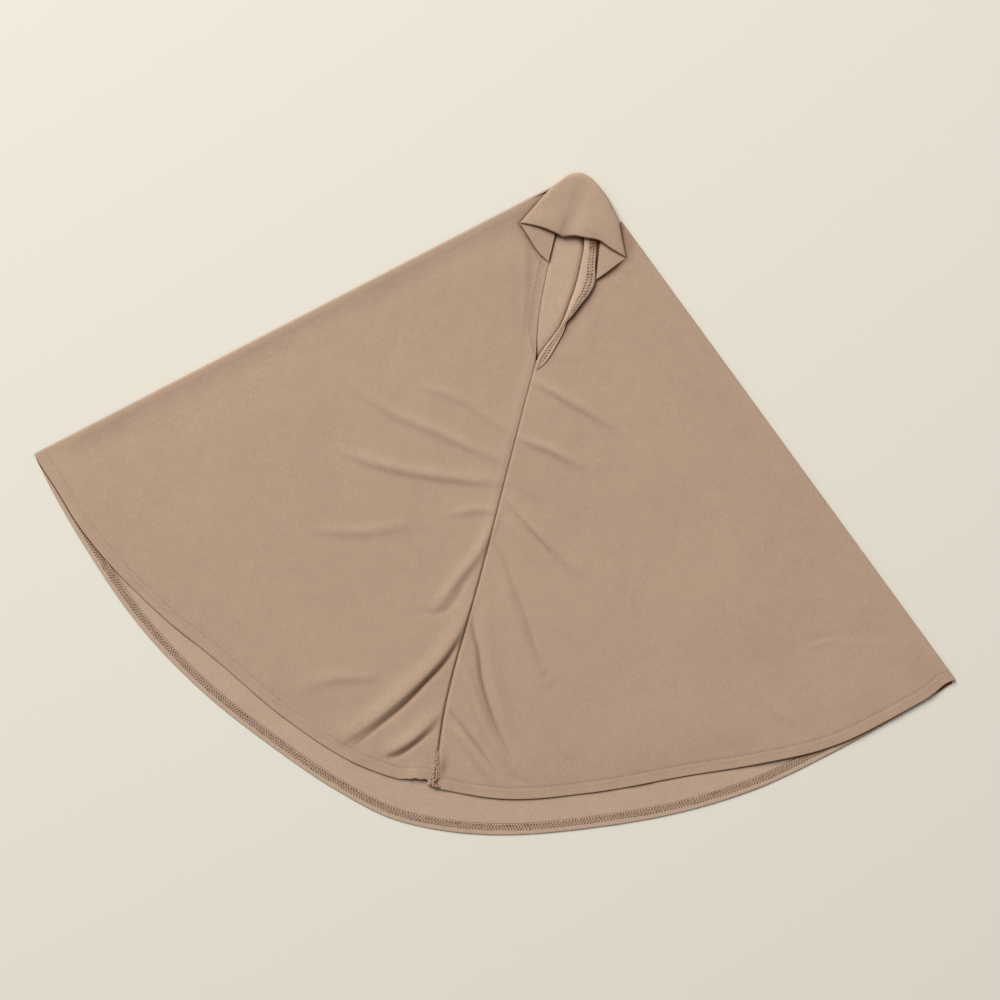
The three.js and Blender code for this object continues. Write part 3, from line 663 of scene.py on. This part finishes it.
def folds(x, y):
    """Height and painted shade of all the folds. A fold is its height times exp(-(distance / width)^2) and
    dies out at its ends. The painted shade of a crease lies along its line, and that of a ridge at its lower
    foot."""
    height = np.zeros(x.shape)
    shade = np.zeros(x.shape)
    for lift, upper, lower, dark, places in FOLDS:
        away, along, above = line_distance(x, y, places)
        width = np.where(above, upper, lower)
        taper = np.sin(np.pi * np.clip(along, 0.01, 0.99)) ** 0.6
        height += lift * taper * np.exp(-((away / width) ** 2))
        from_foot = np.where(above, away, -away) + (0.95 * lower if lift > 0 else 0)
        shade += dark * taper * np.exp(-((from_foot / (0.55 * lower)) ** 2))
    return height, shade


def base_level(x, y, inset):
    """Middle of the front layer. It comes down towards its hem, but not near the corners, where the hem
    lies on the hem of the back."""
    share = drape_share(x, y)
    low = 1 - ramp(share, 0.5, 0.68) - ramp(-share, 0.58, 0.76)
    return FRONT_LEVEL - (FRONT_LEVEL - HEM_LEVEL) * low * np.exp(-((inset / 26) ** 2))


def opening_drop(side, x, radius):
    """How far the front layer comes down beside the opening: exp(-(distance / spread)^2) of its drop."""
    from_edge = np.maximum(side * (x - inner_edge(side, radius)), 0)
    upper = 1 - ramp(radius, OPENING_FOOT - 40, OPENING_FOOT + 25)
    return EDGE_DROP[side] * np.exp(-((from_edge / EDGE_SPREAD) ** 2)) * upper


def roll_share(side, down_side):
    """How much of the side roll there is: it dies out at the hem and under the crown."""
    length = LEFT_LENGTH if side < 0 else RIGHT_LENGTH
    return ramp(length - down_side, 2, 70) * ramp(down_side, FRONT_TOP[side] - 10, FRONT_TOP[side] + 50)


def turn_radius(side, down_side):
    """Radius of the side fold: half of the height from the surface to the front layer there."""
    top = FRONT_LEVEL + ROLL_HEIGHT[side][0] * roll_share(side, down_side)
    return (top - CLEAR - CLOTH / 2) / 2


def front_height(side, x, y, inset):
    """Middle of the front layer: its level, the side roll, the folds and waves, the groove of the seam and
    the lift of the hem beside the seam's foot."""
    along, inward = side_line(side)
    down_side = x * along[0] + y * along[1]
    from_fold = x * inward[0] + y * inward[1] - turn_radius(side, down_side)
    z = base_level(x, y, inset) - opening_drop(side, x, np.hypot(x, y))
    z = z + curve(ROLL_AT, ROLL_HEIGHT[side], from_fold) * roll_share(side, down_side)
    calm = ramp(from_fold, 0, 30)
    hem_calm = 0.35 + 0.65 * ramp(inset, 0, 30)
    uneven = folds(x, y)[0] * hem_calm + 0.35 * waves(x, y, 11, 60, 200) + 0.12 * waves(x, y, 12, 20, 50)
    z = z + uneven * calm
    sewn = np.exp(-(((inset - HEM_DEPTH) / 1.6) ** 2))
    z = z - 0.3 * sewn * ramp(from_fold, 0, 12)
    z = z + 0.2 * waves(x, y, 13, 20, 40) * np.exp(-((inset / 16) ** 2)) * calm
    from_seam = x - seam_x(-y)
    foot_share = np.clip((-y - OPENING_FOOT) / SEAM_LENGTH, 0, 1)
    below = ramp(-y, OPENING_FOOT - 8, OPENING_FOOT + 4)
    width = np.where(from_seam < 0, GROOVE_WIDTH[-1], GROOVE_WIDTH[1]) + 0.5 * foot_share
    z = z - below * (GROOVE_DEPTH + GROOVE_DEEPER * foot_share) * np.exp(-((from_seam / width) ** 2))
    z = z + below * 0.45 * np.exp(-(((from_seam + 6) / 4.5) ** 2)) * (1 - ramp(foot_share, 0.35, 0.6))
    z = z + FOOT_LIFT * np.exp(-(((from_seam + 20) / 12) ** 2)) * np.exp(-((inset / 15) ** 2))
    least = LOWEST + 2 * HEM_TURN * (1 - ramp(inset, HEM_DEPTH - 1, HEM_DEPTH + 3))
    return np.maximum(z, least + 0.5 * below * np.exp(-((from_seam / 10) ** 4)))


def beside(x, y, line):
    """Distance from each point to the nearest of the straight steps of a line."""
    best = np.full(x.shape, 1e9)
    for (from_x, from_y), (to_x, to_y) in zip(line[:-1], line[1:]):
        run_x, run_y = to_x - from_x, to_y - from_y
        share = np.clip(((x - from_x) * run_x + (y - from_y) * run_y) / (run_x**2 + run_y**2), 0, 1)
        best = np.minimum(best, np.hypot(x - from_x - share * run_x, y - from_y - share * run_y))
    return best


def front_painted_shade(side, x, y):
    """Painted shade of the front: in the creases of the folds, a thin line in the seam's slit, a painted
    shadow in the hollow at the right of its foot, a painted shadow of exp(-distance / reach) beside the edges
    that lie on the half, and on the turned edge of the right half's hem, which faces away from the light."""
    from_seam = x - seam_x(-y)
    foot_share = np.clip((-y - OPENING_FOOT) / SEAM_LENGTH, 0, 1)
    below = ramp(-y, OPENING_FOOT - 4, OPENING_FOOT + 6)
    # Painted shade in the seam's slit, darker towards its foot.
    line = (0.08 + 0.75 * foot_share + 0.12 * waves(x, y, 21, 5, 14)) * np.exp(-((from_seam / 0.65) ** 2))
    # Painted shadow at the right of the knot.
    hollow = 0.3 * np.exp(-(((x - 0.5) / 4.5) ** 2) - ((y + 675) / 12) ** 2) * (from_seam > 0)
    dark, reach = EDGE_SHADE[side]
    edge_shadow = dark * np.exp(-beside(x, y, EDGES_ON[side]) / reach) * (1 - 0.6 * ramp(-y, 170, 205))
    if side < 0:
        edge_shadow = edge_shadow * (0.7 + 0.5 * waves(x, y, 23, 8, 16))
    share = drape_share(x, y)
    inset = hem_radius("front", share) - np.hypot(x, y)
    shaded_hem_edge = 0.65 * (1 - ramp(inset, 0.5 * HEM_TURN, 0.95 * HEM_TURN)) * ramp(share, -0.02, 0.15)
    return np.clip(folds(x, y)[1] + below * line + hollow + edge_shadow + shaded_hem_edge, 0, 1)


def front_columns():
    """Shares of the way from the seam to the side fold: closest together at the seam, fine up to the folds'
    ends, coarse on the smooth cloth and fine again at the side fold."""
    near = np.cumsum([0, 0.5, 0.55, 0.65, 0.8, 1.0, 1.2, 1.3, FINE_COLUMN])
    fine = np.arange(near[-1] + FINE_COLUMN, 110, FINE_COLUMN)
    coarse = np.arange(112, 575, COARSE_COLUMN)
    return np.concatenate([near, fine, coarse, np.linspace(577, WAY_ACROSS, 13)]) / WAY_ACROSS


def front_surface(side, down, inset):
    """Middle of one half for rows that lie a share down from its start to inset inside its hem. The angle of
    a point is a share of the way from the inner edge to the side fold. Beyond the fold, half a circle takes
    the cloth down to the surface."""
    out = front_columns()
    share = side * out + 0 * down
    for _ in range(5):
        radius = FRONT_TOP[side] + (hem_radius("front", share) - inset - FRONT_TOP[side]) * down
        edge = np.arcsin(inner_edge(side, radius) / radius)
        fold = side * (np.radians(HALF_ANGLE) - np.arcsin(turn_radius(side, radius) / radius))
        share = np.degrees(edge + (fold - edge) * out) / HALF_ANGLE
    x, y = on_drape(share, radius)
    z = front_height(side, x, y, hem_radius("front", share) - radius)
    along, inward = side_line(side)
    down_side = x[:, -1:] * along[0] + y[:, -1:] * along[1]
    turn = turn_radius(side, down_side)
    angle = np.linspace(np.pi / 2, -np.pi / 2, 13)[1:]
    reach = turn * (1 - np.cos(angle))
    bottom = CLEAR + CLOTH / 2
    wrap = np.stack([along[0] * down_side + inward[0] * reach, along[1] * down_side + inward[1] * reach,
                     bottom + turn * (1 + np.sin(angle))], -1)
    return np.concatenate([np.stack([x, y, z], -1), wrap], 1)


def drape_front(name, side, material, *nodes):
    """One half of the front with its hem turned under: the turned rows follow the surface just inside the
    hem, moved inwards along its normals."""
    length = FRONT_LENGTH - FRONT_TOP[side]
    main = np.concatenate([np.linspace(0, 0.5, 104), np.linspace(0.5, 1 - 50 / length, 128)[1:],
                           np.linspace(1 - 50 / length, 1, 38)[1:]])
    turn_inset, turn_moved = turned_rows(HEM_DEPTH, 5)
    down = np.concatenate([main, np.ones(len(turn_inset))])[:, None]
    inset = np.concatenate([np.full(len(main), HEM_TURN), turn_inset])[:, None]
    moved = np.concatenate([np.zeros(len(main)), turn_moved])[:, None, None]
    middle = front_surface(side, down, inset)
    normal = np.cross(np.gradient(middle, axis=1), front_surface(side, down, inset - 0.5)
                      - front_surface(side, down, inset + 0.5))
    normal *= -side / np.maximum(np.linalg.norm(normal, axis=-1, keepdims=True), 1e-9)
    middle = middle - moved * normal
    edge = middle[len(main) - 1]
    arc = np.concatenate([[0], np.cumsum(np.linalg.norm(np.diff(edge, axis=0), axis=-1))])
    from_hem = np.linalg.norm(middle - edge, axis=-1) * np.where(moved[..., 0] > HEM_TURN, -1, 1)
    uv = np.stack([np.broadcast_to(arc, from_hem.shape), from_hem], -1)
    piece = cloth_piece(name, middle, uv, painted_shade=front_painted_shade(side, middle[..., 0], middle[..., 1]))
    finish_with(piece, material)
    sewn_in(piece, "jersey_outside", *nodes)


OUTSIDE_COLOUR = (0.443, 0.316, 0.23)
FRONT_NEEDLES = [(12.2, 0.0, 1.05, 0.42), (9.8, 1.6, 0.9, 0.16), (7.3, 0.8, 1.0, 0.22)]

outside = jersey("jersey_outside", OUTSIDE_COLOUR, rows=FRONT_NEEDLES)
drape_front("drape_front_left", -1, outside, "front_left_panel", "front_left_hem", "left_side_fold")
drape_front("drape_front_right", 1, outside, "front_right_panel", "front_right_hem", "right_side_fold")


# The seam allowance
# A narrow strip of the two fronts' edges, pressed flat inside under the seam from the opening to the hem.

ALLOWANCE_WIDTH = 12.0
ALLOWANCE_LEVEL = 1.05
ALLOWANCE_WALL = 0.4
ALLOWANCE_NEEDLES = [(2.5, 0.0, 0.9, 0.5), (-2.5, 1.6, 0.9, 0.5)]
HEM_COLOUR = (0.39, 0.27, 0.185)

down = np.linspace(OPENING_FOOT + 2, FRONT_LENGTH - HEM_DEPTH - 2, 90)[:, None]
across = np.linspace(-0.5, 0.5, 9)[None, :]
x = seam_x(down) + across * ALLOWANCE_WIDTH
middle = np.stack([x, -down + 0 * x, np.full(x.shape, ALLOWANCE_LEVEL)], -1)
uv = np.stack([down + 0 * x, 0 * down + across * ALLOWANCE_WIDTH], -1)
seam_allowance = cloth_piece("seam_allowance", middle, uv, ALLOWANCE_WALL)
finish_with(seam_allowance, jersey("jersey_allowance", HEM_COLOUR, rows=ALLOWANCE_NEEDLES))
sewn_in(seam_allowance, "jersey_hem", "front_seam")


# The foot of the seam
# The last few centimetres of the seam are drawn together and tacked into a small wrinkled knot, whose end is
# a round tuck a little way inside the hem.

KNOT_LENGTH = 39.0
KNOT_FOOT = 2.5  # from the hem's edge to the knot's lower end
KNOT_WIDTH = {"top": 2.4, "foot": 15.5}
KNOT_WALL = 0.6
TUCK_PLACE = (-1.4, -692.6)
TUCK_RADIUS = 3.0
TUCK_DEPTH = 2.1
KNOT_NEEDLES = [(-4.6, 0.0, 1.1, 0.8), (-2.2, 1.6, 1.1, 0.75), (1.2, 0.4, 1.0, 0.6)]


def knot_surface():
    """The knot's cloth on a grid across and along it: it joins the fronts at its two sides, bulges between
    them by (1 - across^2)^0.6, and carries lengthwise ridges, small crumples and the round tuck. Its painted
    shade is dark in the ridges' valleys and in the tuck."""
    along = np.linspace(0, 1, 56)[:, None]
    across = np.linspace(-1, 1, 41)[None, :]
    down = FRONT_LENGTH - KNOT_FOOT - KNOT_LENGTH * (1 - along)
    width = KNOT_WIDTH["top"] + (KNOT_WIDTH["foot"] - KNOT_WIDTH["top"]) * along**1.3
    x = seam_x(down) + across * width / 2
    y = -down + 1.5 * along * (across**2 - 0.4)
    inset = hem_radius("front", drape_share(x, y)) - np.hypot(x, y)
    sides = [front_height(side, x[:, at:at + 1 or None], y[:, at:at + 1 or None], inset[:, at:at + 1 or None])
             for side, at in ((-1, 0), (1, -1))]
    level = sides[0] + (sides[1] - sides[0]) * (across + 1) / 2 - 0.55
    bulge = (1 - across**2) ** 0.6
    ridges = np.cos(2 * np.pi * (1.7 * across + 0.35 * np.sin(3 * along)) + 1.2)
    crumple = waves(x, y, 31, 3.2, 7)
    from_tuck = np.hypot(x - TUCK_PLACE[0], (y - TUCK_PLACE[1]) * 0.85)
    pit = np.exp(-((from_tuck / TUCK_RADIUS) ** 4))
    rim = np.exp(-(((from_tuck - 1.45 * TUCK_RADIUS) / 1.1) ** 2))
    wrinkles = (0.6 * ridges + 0.6 * crumple) * (0.4 + 0.6 * along)
    rise = bulge * (1.0 + 1.5 * along + wrinkles) + 0.9 * rim * bulge
    z = level + rise * ramp(along, 0, 0.15) - TUCK_DEPTH * pit
    # Painted shade in the ridges' valleys and in the tuck's pit.
    painted_shade = np.clip(0.35 * (1 - ridges) / 2 - 0.4 * crumple, 0, 0.5) * bulge * along + 0.6 * pit
    return np.stack([x, y, z], -1), painted_shade, np.stack([down + 0 * x, across * width / 2], -1)


middle, painted_shade, uv = knot_surface()
seam_knot = cloth_piece("seam_knot", middle, uv, KNOT_WALL, painted_shade)
finish_with(seam_knot, jersey("jersey_knot", OUTSIDE_COLOUR, rows=KNOT_NEEDLES))
sewn_in(seam_knot, "jersey_hem", "seam_gather")


# The band at the left of the face opening
# The cut edge is turned under and sewn down flat, so that faint needle rows show along it.

FLAT_BAND_WALL = 0.3
FLAT_BAND_TURN = 0.2
FLAT_BAND_LOWEST = 1.2
FLAT_BAND_NEEDLES = [(0.6, 0.0, 1.35, 0.5), (2.7, 1.6, 1.25, 0.4), (4.8, 0.0, 1.15, 0.3)]
FAR_INSIDE = 1000.0  # down from the crown to beyond any hem

down = np.linspace(60, OPENING_FOOT - 1, 80)[:, None]
edge = opening_x(OPENING_LEFT, down)
outer = edge - band_width(down) + 0.2
across = np.concatenate([np.linspace(0, 1, 9), np.ones(5), np.linspace(1, 0, 5)[1:]])[None, :]
turn = np.concatenate([np.zeros(8), np.linspace(0, np.pi, 6), np.full(4, np.pi)])[None, :]
x = outer + (edge - FLAT_BAND_TURN - outer) * across + FLAT_BAND_TURN * np.sin(turn)
top = front_height(-1, x, -down + 0 * x, FAR_INSIDE - down) + 0.25
z = np.maximum(top - FLAT_BAND_TURN * (1 - np.cos(turn)), FLAT_BAND_LOWEST)
middle = np.stack([x, -down + 0 * x, z], -1)
uv = np.stack([down + 0 * x, np.where(turn < 1, x - outer, -1.0) + 0 * x], -1)
flat_band = cloth_piece("flat_band", middle, uv, FLAT_BAND_WALL)
finish_with(flat_band, jersey("jersey_flat_band", OUTSIDE_COLOUR, rows=FLAT_BAND_NEEDLES))
sewn_in(flat_band, "jersey_hem", "face_band_left")


# The band at the right of the face opening
# The same turned and sewn edge, but rolled over outwards, so its inner side with two rows of looped stitches
# shows down to where it twists back to its face near the foot.

BAND_RISE = [2.6, 3.0, 3.6, 4.4, 4.8, 4.8, 4.2, 2.8, 1.9, 1.5, 1.2, 0.9, 0.4, 0.1]  # its height at BAND_AT
BAND_TWIST = 170.0  # down from the crown to where the roll turns to its face side
ROWS_AT = {"upper": (0.5, 0.79), "lower": (0.36, 0.8)}
ROW_UNIT = 16.0  # the band's width on its UV map
ROLL_NEEDLES = [(8.0, 0.0, 1.6, 1.0), (12.6, 1.65, 1.6, 1.0), (10.3, 0.8, 1.2, 0.75)]


def band_section(down, share, top_side):
    """Place and height of the roll's section at shares across it: an oval, pressed flat below, whose top is
    higher at its outer side and has a groove along each needle row."""
    inner = curve(BAND_AT, BAND_INNER, down)
    outer = curve(BAND_AT, BAND_OUTER, down)
    rise = curve(BAND_AT, BAND_RISE, down)
    cosine = np.abs(2 * share - 1) ** (1 / 0.75)
    sine = np.sqrt(np.clip(1 - cosine**2, 0, 1))
    beside_it = inner_edge(1, down) + 4
    lower = ramp(down, BAND_TWIST - 4, BAND_TWIST + 6)
    seat = front_height(1, beside_it, -down, FAR_INSIDE - down) + CLOTH + 0.2 - 0.15 * lower
    groove = 0
    for upper_row, lower_row in zip(ROWS_AT["upper"], ROWS_AT["lower"]):
        row = upper_row + (lower_row - upper_row) * lower
        groove = groove + (0.4 + 0.5 * lower) * np.exp(-(((share - row) / 0.07) ** 2))
    crown = rise * (0.55 + 0.45 * share) * sine**0.62 - np.minimum(groove, 0.3 * rise) * sine
    half_wall = 0.7 - 0.4 * lower
    z = seat + half_wall + np.where(top_side, crown, -half_wall * sine**0.8)
    return inner + (outer - inner) * share, z


def roll_surface():
    """A flattened roll of cloth along the opening. The walk round a section starts and ends in the middle
    of the underside. Its painted shade is dark where it comes out from under the crown and along the lower
    rows."""
    down = np.linspace(BAND_AT[0], BAND_AT[-1], 130)[:, None]
    angle = np.radians(np.linspace(-80, -440, 45))[None, :]
    cosine = np.cos(angle)
    share = 0.5 + np.sign(cosine) * np.abs(cosine) ** 0.75 / 2
    top_side = np.sin(angle) > 0
    x, z = band_section(down, share, top_side)
    lower = ramp(down, BAND_TWIST - 4, BAND_TWIST + 6)
    along_row = np.where(top_side, share + (ROWS_AT["upper"][0] - ROWS_AT["lower"][0]) * lower, -1.0)
    # Painted shade under the crown's fold and along the lower needle row.
    painted_shade = 0.6 * (1 - ramp(down, 74, 90)) * top_side * ramp(share, 0.2, 0.6)
    painted_shade = painted_shade + 0.3 * lower * np.exp(-(((share - ROWS_AT["lower"][0]) / 0.08) ** 2)) * top_side
    middle = np.stack([x, -down + 0 * x, z], -1)
    return middle, np.stack([down + 0 * x, along_row * ROW_UNIT], -1), painted_shade


middle, uv, painted_shade = roll_surface()
rolled_band = cloth_piece("rolled_band", middle, uv, painted_shade=painted_shade)
finish_with(rolled_band, jersey("jersey_rolled_band", INSIDE_COLOUR, rows=ROLL_NEEDLES))
sewn_in(rolled_band, "jersey_hem", "face_band_right")


# The crown, folded forward
# The top of the hood is folded down over the face opening as a soft double layer. It comes up from the back,
# goes over to its front fold, and turns under again.

PEAK_TURN_UNDER = 26.0
PEAK_AT = [0, 0.08, 0.22, 0.33, 0.42, 0.5, 0.56, 0.62, 0.75, 0.92, 1]
PEAK_TOP = [8.8, 9.8, 10.8, 11.2, 11.2, 11.2, 11.4, 11.7, 11.7, 11.0, 9.6]
PEAK_FRONT = [8.3, 9.2, 10.2, 9.9, 8.6, 8.2, 9.4, 10.6, 11.2, 10.8, 8.8]
PEAK_UNDER = [7.0, 7.0, 6.6, 5.4, 3.0, 3.0, 5.6, 7.4, 7.7, 7.5, 7.0]
PEAK_ROUND = 0.025  # share of the width over which the two sides are rounded


def peak_surface():
    """Middle of the folded crown. Each column is a section: along the surface, round the back edge in half a
    circle, over the top, round the front fold in half a circle, and back underneath. Towards its two
    sides the layers come together."""
    half = np.linspace(0, 1, 36)
    across = np.concatenate([half**1.6 / 2, 1 - half[-2::-1] ** 1.6 / 2])[None, :]
    start, fold = peak_section(across[0])
    depth = np.linalg.norm(fold - start, axis=1)[None, :]
    direction = (fold - start) / depth.T
    full = np.sqrt(1 - (1 - np.clip(np.minimum(across, 1 - across) / PEAK_ROUND, 0, 1)) ** 2)
    under = curve(PEAK_AT, PEAK_UNDER, across)
    top = under + CLOTH + (curve(PEAK_AT, PEAK_TOP, across) - under - CLOTH) * full
    front = under + CLOTH + (curve(PEAK_AT, PEAK_FRONT, across) - under - CLOTH) * full
    bottom = CLEAR + CLOTH / 2
    back_turn, front_turn = (top - bottom) / 2, (front - under) / 2
    back_at, front_at = back_turn + CLOTH / 2, depth - front_turn - CLOTH / 2
    angle = np.linspace(0, np.pi, 15)[:, None]
    lead = np.linspace(0, 1, 4)[:-1, None]
    over = np.linspace(0, 1, 42)[1:-1, None]
    back = np.linspace(0, 1, 9)[1:, None]
    bulges = 0.9 * np.exp(-(((across - 0.24) / 0.13) ** 2) - ((over - 0.86) / 0.16) ** 2)
    bulges = bulges + 1.2 * np.exp(-(((across - 0.72) / 0.15) ** 2) - ((over - 0.84) / 0.15) ** 2)
    crease = 0.3 * np.exp(-(((across - 0.44 + 0.12 * (over - 0.8)) / 0.05) ** 2)) * ramp(over, 0.5, 1.0)
    fade = (np.sin(np.pi * over) ** 0.5) * full
    lift = (bulges - crease + 0.25 * np.sin(7 * across + 5 * over)) * fade
    distance = np.concatenate([
        BACK_START + (back_at - BACK_START) * lead, back_at - back_turn * np.sin(angle),
        back_at + (front_at - back_at) * over, front_at + front_turn * np.sin(angle),
        front_at - np.minimum(PEAK_TURN_UNDER, depth / 2) * back])
    z = np.concatenate([
        bottom + 0 * lead + 0 * across, bottom + back_turn * (1 - np.cos(angle)),
        top + (front - top) * over + lift, front - front_turn * (1 - np.cos(angle)), under + 0 * back])
    x = start[:, 0] + distance * direction[:, 0]
    y = start[:, 1] + distance * direction[:, 1]
    return np.stack([x, y, z], -1)


middle = peak_surface()
crown_fold = cloth_piece("crown_fold", middle, middle[..., :2])
finish_with(crown_fold, jersey("jersey_crown", OUTSIDE_COLOUR))
sewn_in(crown_fold, "jersey_outside", "hood_peak")


# The pleats under the crown's corners
# The cloth beside the opening is tucked under the folded crown at both corners as a flat pleat, whose free
# edge is a fold. Their table, PLEATS, stands with the fronts, on which their edges cast painted shadow.


def pleat_surface(table):
    """A flat double layer from the tucked edge to the free edge, and back under it round half a circle."""
    across = np.linspace(0, 1, 33)[None, :]
    rows = np.linspace(0, 1, len(table["level"]))
    read = {key: curve(rows, values, across) for key, values in table.items()}
    down = np.concatenate([np.linspace(0, 1, 24), np.ones(8), np.linspace(1, 0.6, 6)[1:]])[:, None]
    turn = np.concatenate([np.zeros(24), np.linspace(0, np.pi, 9)[1:], np.full(5, np.pi)])[:, None]
    x = (read["tucked_x"] + (read["free_x"] - read["tucked_x"]) * down) * PEAK_SPREAD
    y = -(read["tucked_y"] + (read["free_y"] - read["tucked_y"]) * down) * PEAK_DEPTH
    y = y - read["turn"] * (np.sin(turn) - 1)
    soft = 0.35 * np.sin(np.pi * across) * np.sin(np.pi * down)
    return np.stack([x, y, read["level"] + soft * (turn == 0) - read["turn"] * (1 - np.cos(turn))], -1)


for side_name, table in PLEATS.items():
    middle = pleat_surface(table)
    pleat = cloth_piece(f"{side_name}_crown_pleat", middle, middle[..., :2])
    finish_with(pleat, bpy.data.materials["jersey_crown"])
    sewn_in(pleat, "jersey_outside", f"{side_name}_peak_pleat")


# The looped threads of the hem and of the rolled band
# On the inside of the sewn edges a looper thread runs to and fro between the two needle rows.

THREAD = 0.18
PITCH = 3.3
THREAD_COLOUR = (0.50, 0.375, 0.28)
HEM_THREAD = {"from": -0.86, "to": 0.73}  # shares of the drape between which the back's hem shows
BAND_THREAD = {"from": 80.0, "to": 166.0}  # down from the crown, along the rolled band

thread_finish = jersey("sewing_thread", THREAD_COLOUR)


def thread_piece(name, path):
    """A closed tube of four sides along a path of points. Its ring at a point lies across the direction
    from the point before to the point after."""
    run = np.gradient(path, axis=0)
    run /= np.linalg.norm(run, axis=1, keepdims=True)
    side = np.cross(run, UP)
    side /= np.linalg.norm(side, axis=1, keepdims=True)
    rise = np.cross(side, run)
    angle = (np.arange(4) * np.pi / 2)[:, None]
    rings = path[:, None, :] + THREAD * (np.cos(angle) * side[:, None, :] + np.sin(angle) * rise[:, None, :])
    number = np.arange(4 * len(path)).reshape(-1, 4)
    after = np.roll(number, -1, axis=1)
    walls = np.stack([number[:-1], after[:-1], after[1:], number[1:]], -1).reshape(-1, 4)
    points = rings.reshape(-1, 3)
    piece = put_mesh(name, points, np.concatenate([walls, number[:1, ::-1], number[-1:]]), points[:, :2])
    finish_with(piece, thread_finish)
    return sewn_in(piece, "jersey_hem")


def to_and_fro(length):
    """Places along a looper thread, and its swing from 0 at one needle row to 1 at the other, which it
    crosses every half pitch."""
    along = np.arange(0, length, PITCH / 4)
    return along, np.array([0.0, 0.75, 1.0, 0.25])[np.arange(len(along)) % 4]


length = np.radians(HALF_ANGLE) * BACK_LENGTH
along, swing = to_and_fro(length * (HEM_THREAD["to"] - HEM_THREAD["from"]))
share = HEM_THREAD["from"] + along / length
inset = BACK_NEEDLES[0][0] + (BACK_NEEDLES[-1][0] - BACK_NEEDLES[0][0]) * swing
x, y = on_drape(share, hem_radius("back", share) - inset)
hem_top = CLEAR + CLOTH + back_rise(x, y) + 2 * HEM_TURN
thread_piece("hem_looper_thread", np.stack([x, y, hem_top + 0.6 * THREAD], -1))

along, swing = to_and_fro(BAND_THREAD["to"] - BAND_THREAD["from"])
down = BAND_THREAD["from"] + along
x, z = band_section(down, ROWS_AT["upper"][0] + (ROWS_AT["upper"][1] - ROWS_AT["upper"][0]) * swing, True)
thread_piece("band_looper_thread", np.stack([x, -down, z + CLOTH / 2 + 0.6 * THREAD], -1))


# The surface, the light and the camera
# The garment lies on a plain pale surface under one large soft lamp at the upper left and a pale surround.
# The camera looks straight down.

VIEW_X = -0.0117
VIEW_Y = -0.0004
VIEW_WIDTH = 1.1
VIEW_TURN = 13.3
LENS = 85.0
SENSOR = 36.0
TOP_LEVEL = 0.004  # height of the plane that VIEW_WIDTH is measured on
FLOOR_REACH = 6.0
FLOOR_COLOUR = (0.762, 0.733, 0.656)
LAMP_PLACE = (-4.62, 4.57, 5.46)
LAMP_SIZE = 5.6
LAMP_POWER = 880
LAMP_COLOUR = (1.0, 0.975, 0.94)
SURROUND_COLOUR = (1.0, 0.985, 0.95)
SURROUND_STRENGTH = 0.3

floor_mesh = bpy.data.meshes.new("floor")
corners = [(FLOOR_REACH * right, FLOOR_REACH * up, 0) for right, up in ((-1, -1), (1, -1), (1, 1), (-1, 1))]
floor_mesh.from_pydata(corners, [], [(0, 1, 2, 3)])
floor = bpy.data.objects.new("floor", floor_mesh)
bpy.context.scene.collection.objects.link(floor)
paper = bpy.data.materials.new("pale_surface")
paper.use_nodes = True
paper_shader = paper.node_tree.nodes["Principled BSDF"]
paper_shader.inputs["Base Color"].default_value = (*FLOOR_COLOUR, 1)
paper_shader.inputs["Roughness"].default_value = 0.9
paper_shader.inputs["Specular IOR Level"].default_value = 0.1
floor.data.materials.append(paper)

lamp_data = bpy.data.lights.new("soft_lamp", "AREA")
lamp_data.shape = "DISK"
lamp_data.size = LAMP_SIZE
lamp_data.energy = LAMP_POWER
lamp_data.color = LAMP_COLOUR
lamp = bpy.data.objects.new("soft_lamp", lamp_data)
lamp.location = LAMP_PLACE
aim = -np.array(LAMP_PLACE)
flat = np.hypot(aim[0], aim[1])
lamp.rotation_euler = (np.arctan2(flat, -aim[2]), 0, np.arctan2(aim[1], aim[0]) - np.pi / 2)
bpy.context.scene.collection.objects.link(lamp)

world = bpy.data.worlds.new("pale_surround")
world.use_nodes = True
world.node_tree.nodes["Background"].inputs["Color"].default_value = (*SURROUND_COLOUR, 1)
world.node_tree.nodes["Background"].inputs["Strength"].default_value = SURROUND_STRENGTH
bpy.context.scene.world = world

camera_data = bpy.data.cameras.new("camera")
camera_data.lens = LENS
camera_data.sensor_width = SENSOR
camera = bpy.data.objects.new("camera", camera_data)
camera.location = (VIEW_X, VIEW_Y, VIEW_WIDTH * LENS / SENSOR + TOP_LEVEL)
camera.rotation_euler = (0, 0, np.radians(VIEW_TURN))
bpy.context.scene.collection.objects.link(camera)
bpy.context.scene.camera = camera
bpy.context.scene.view_settings.view_transform = "Standard"
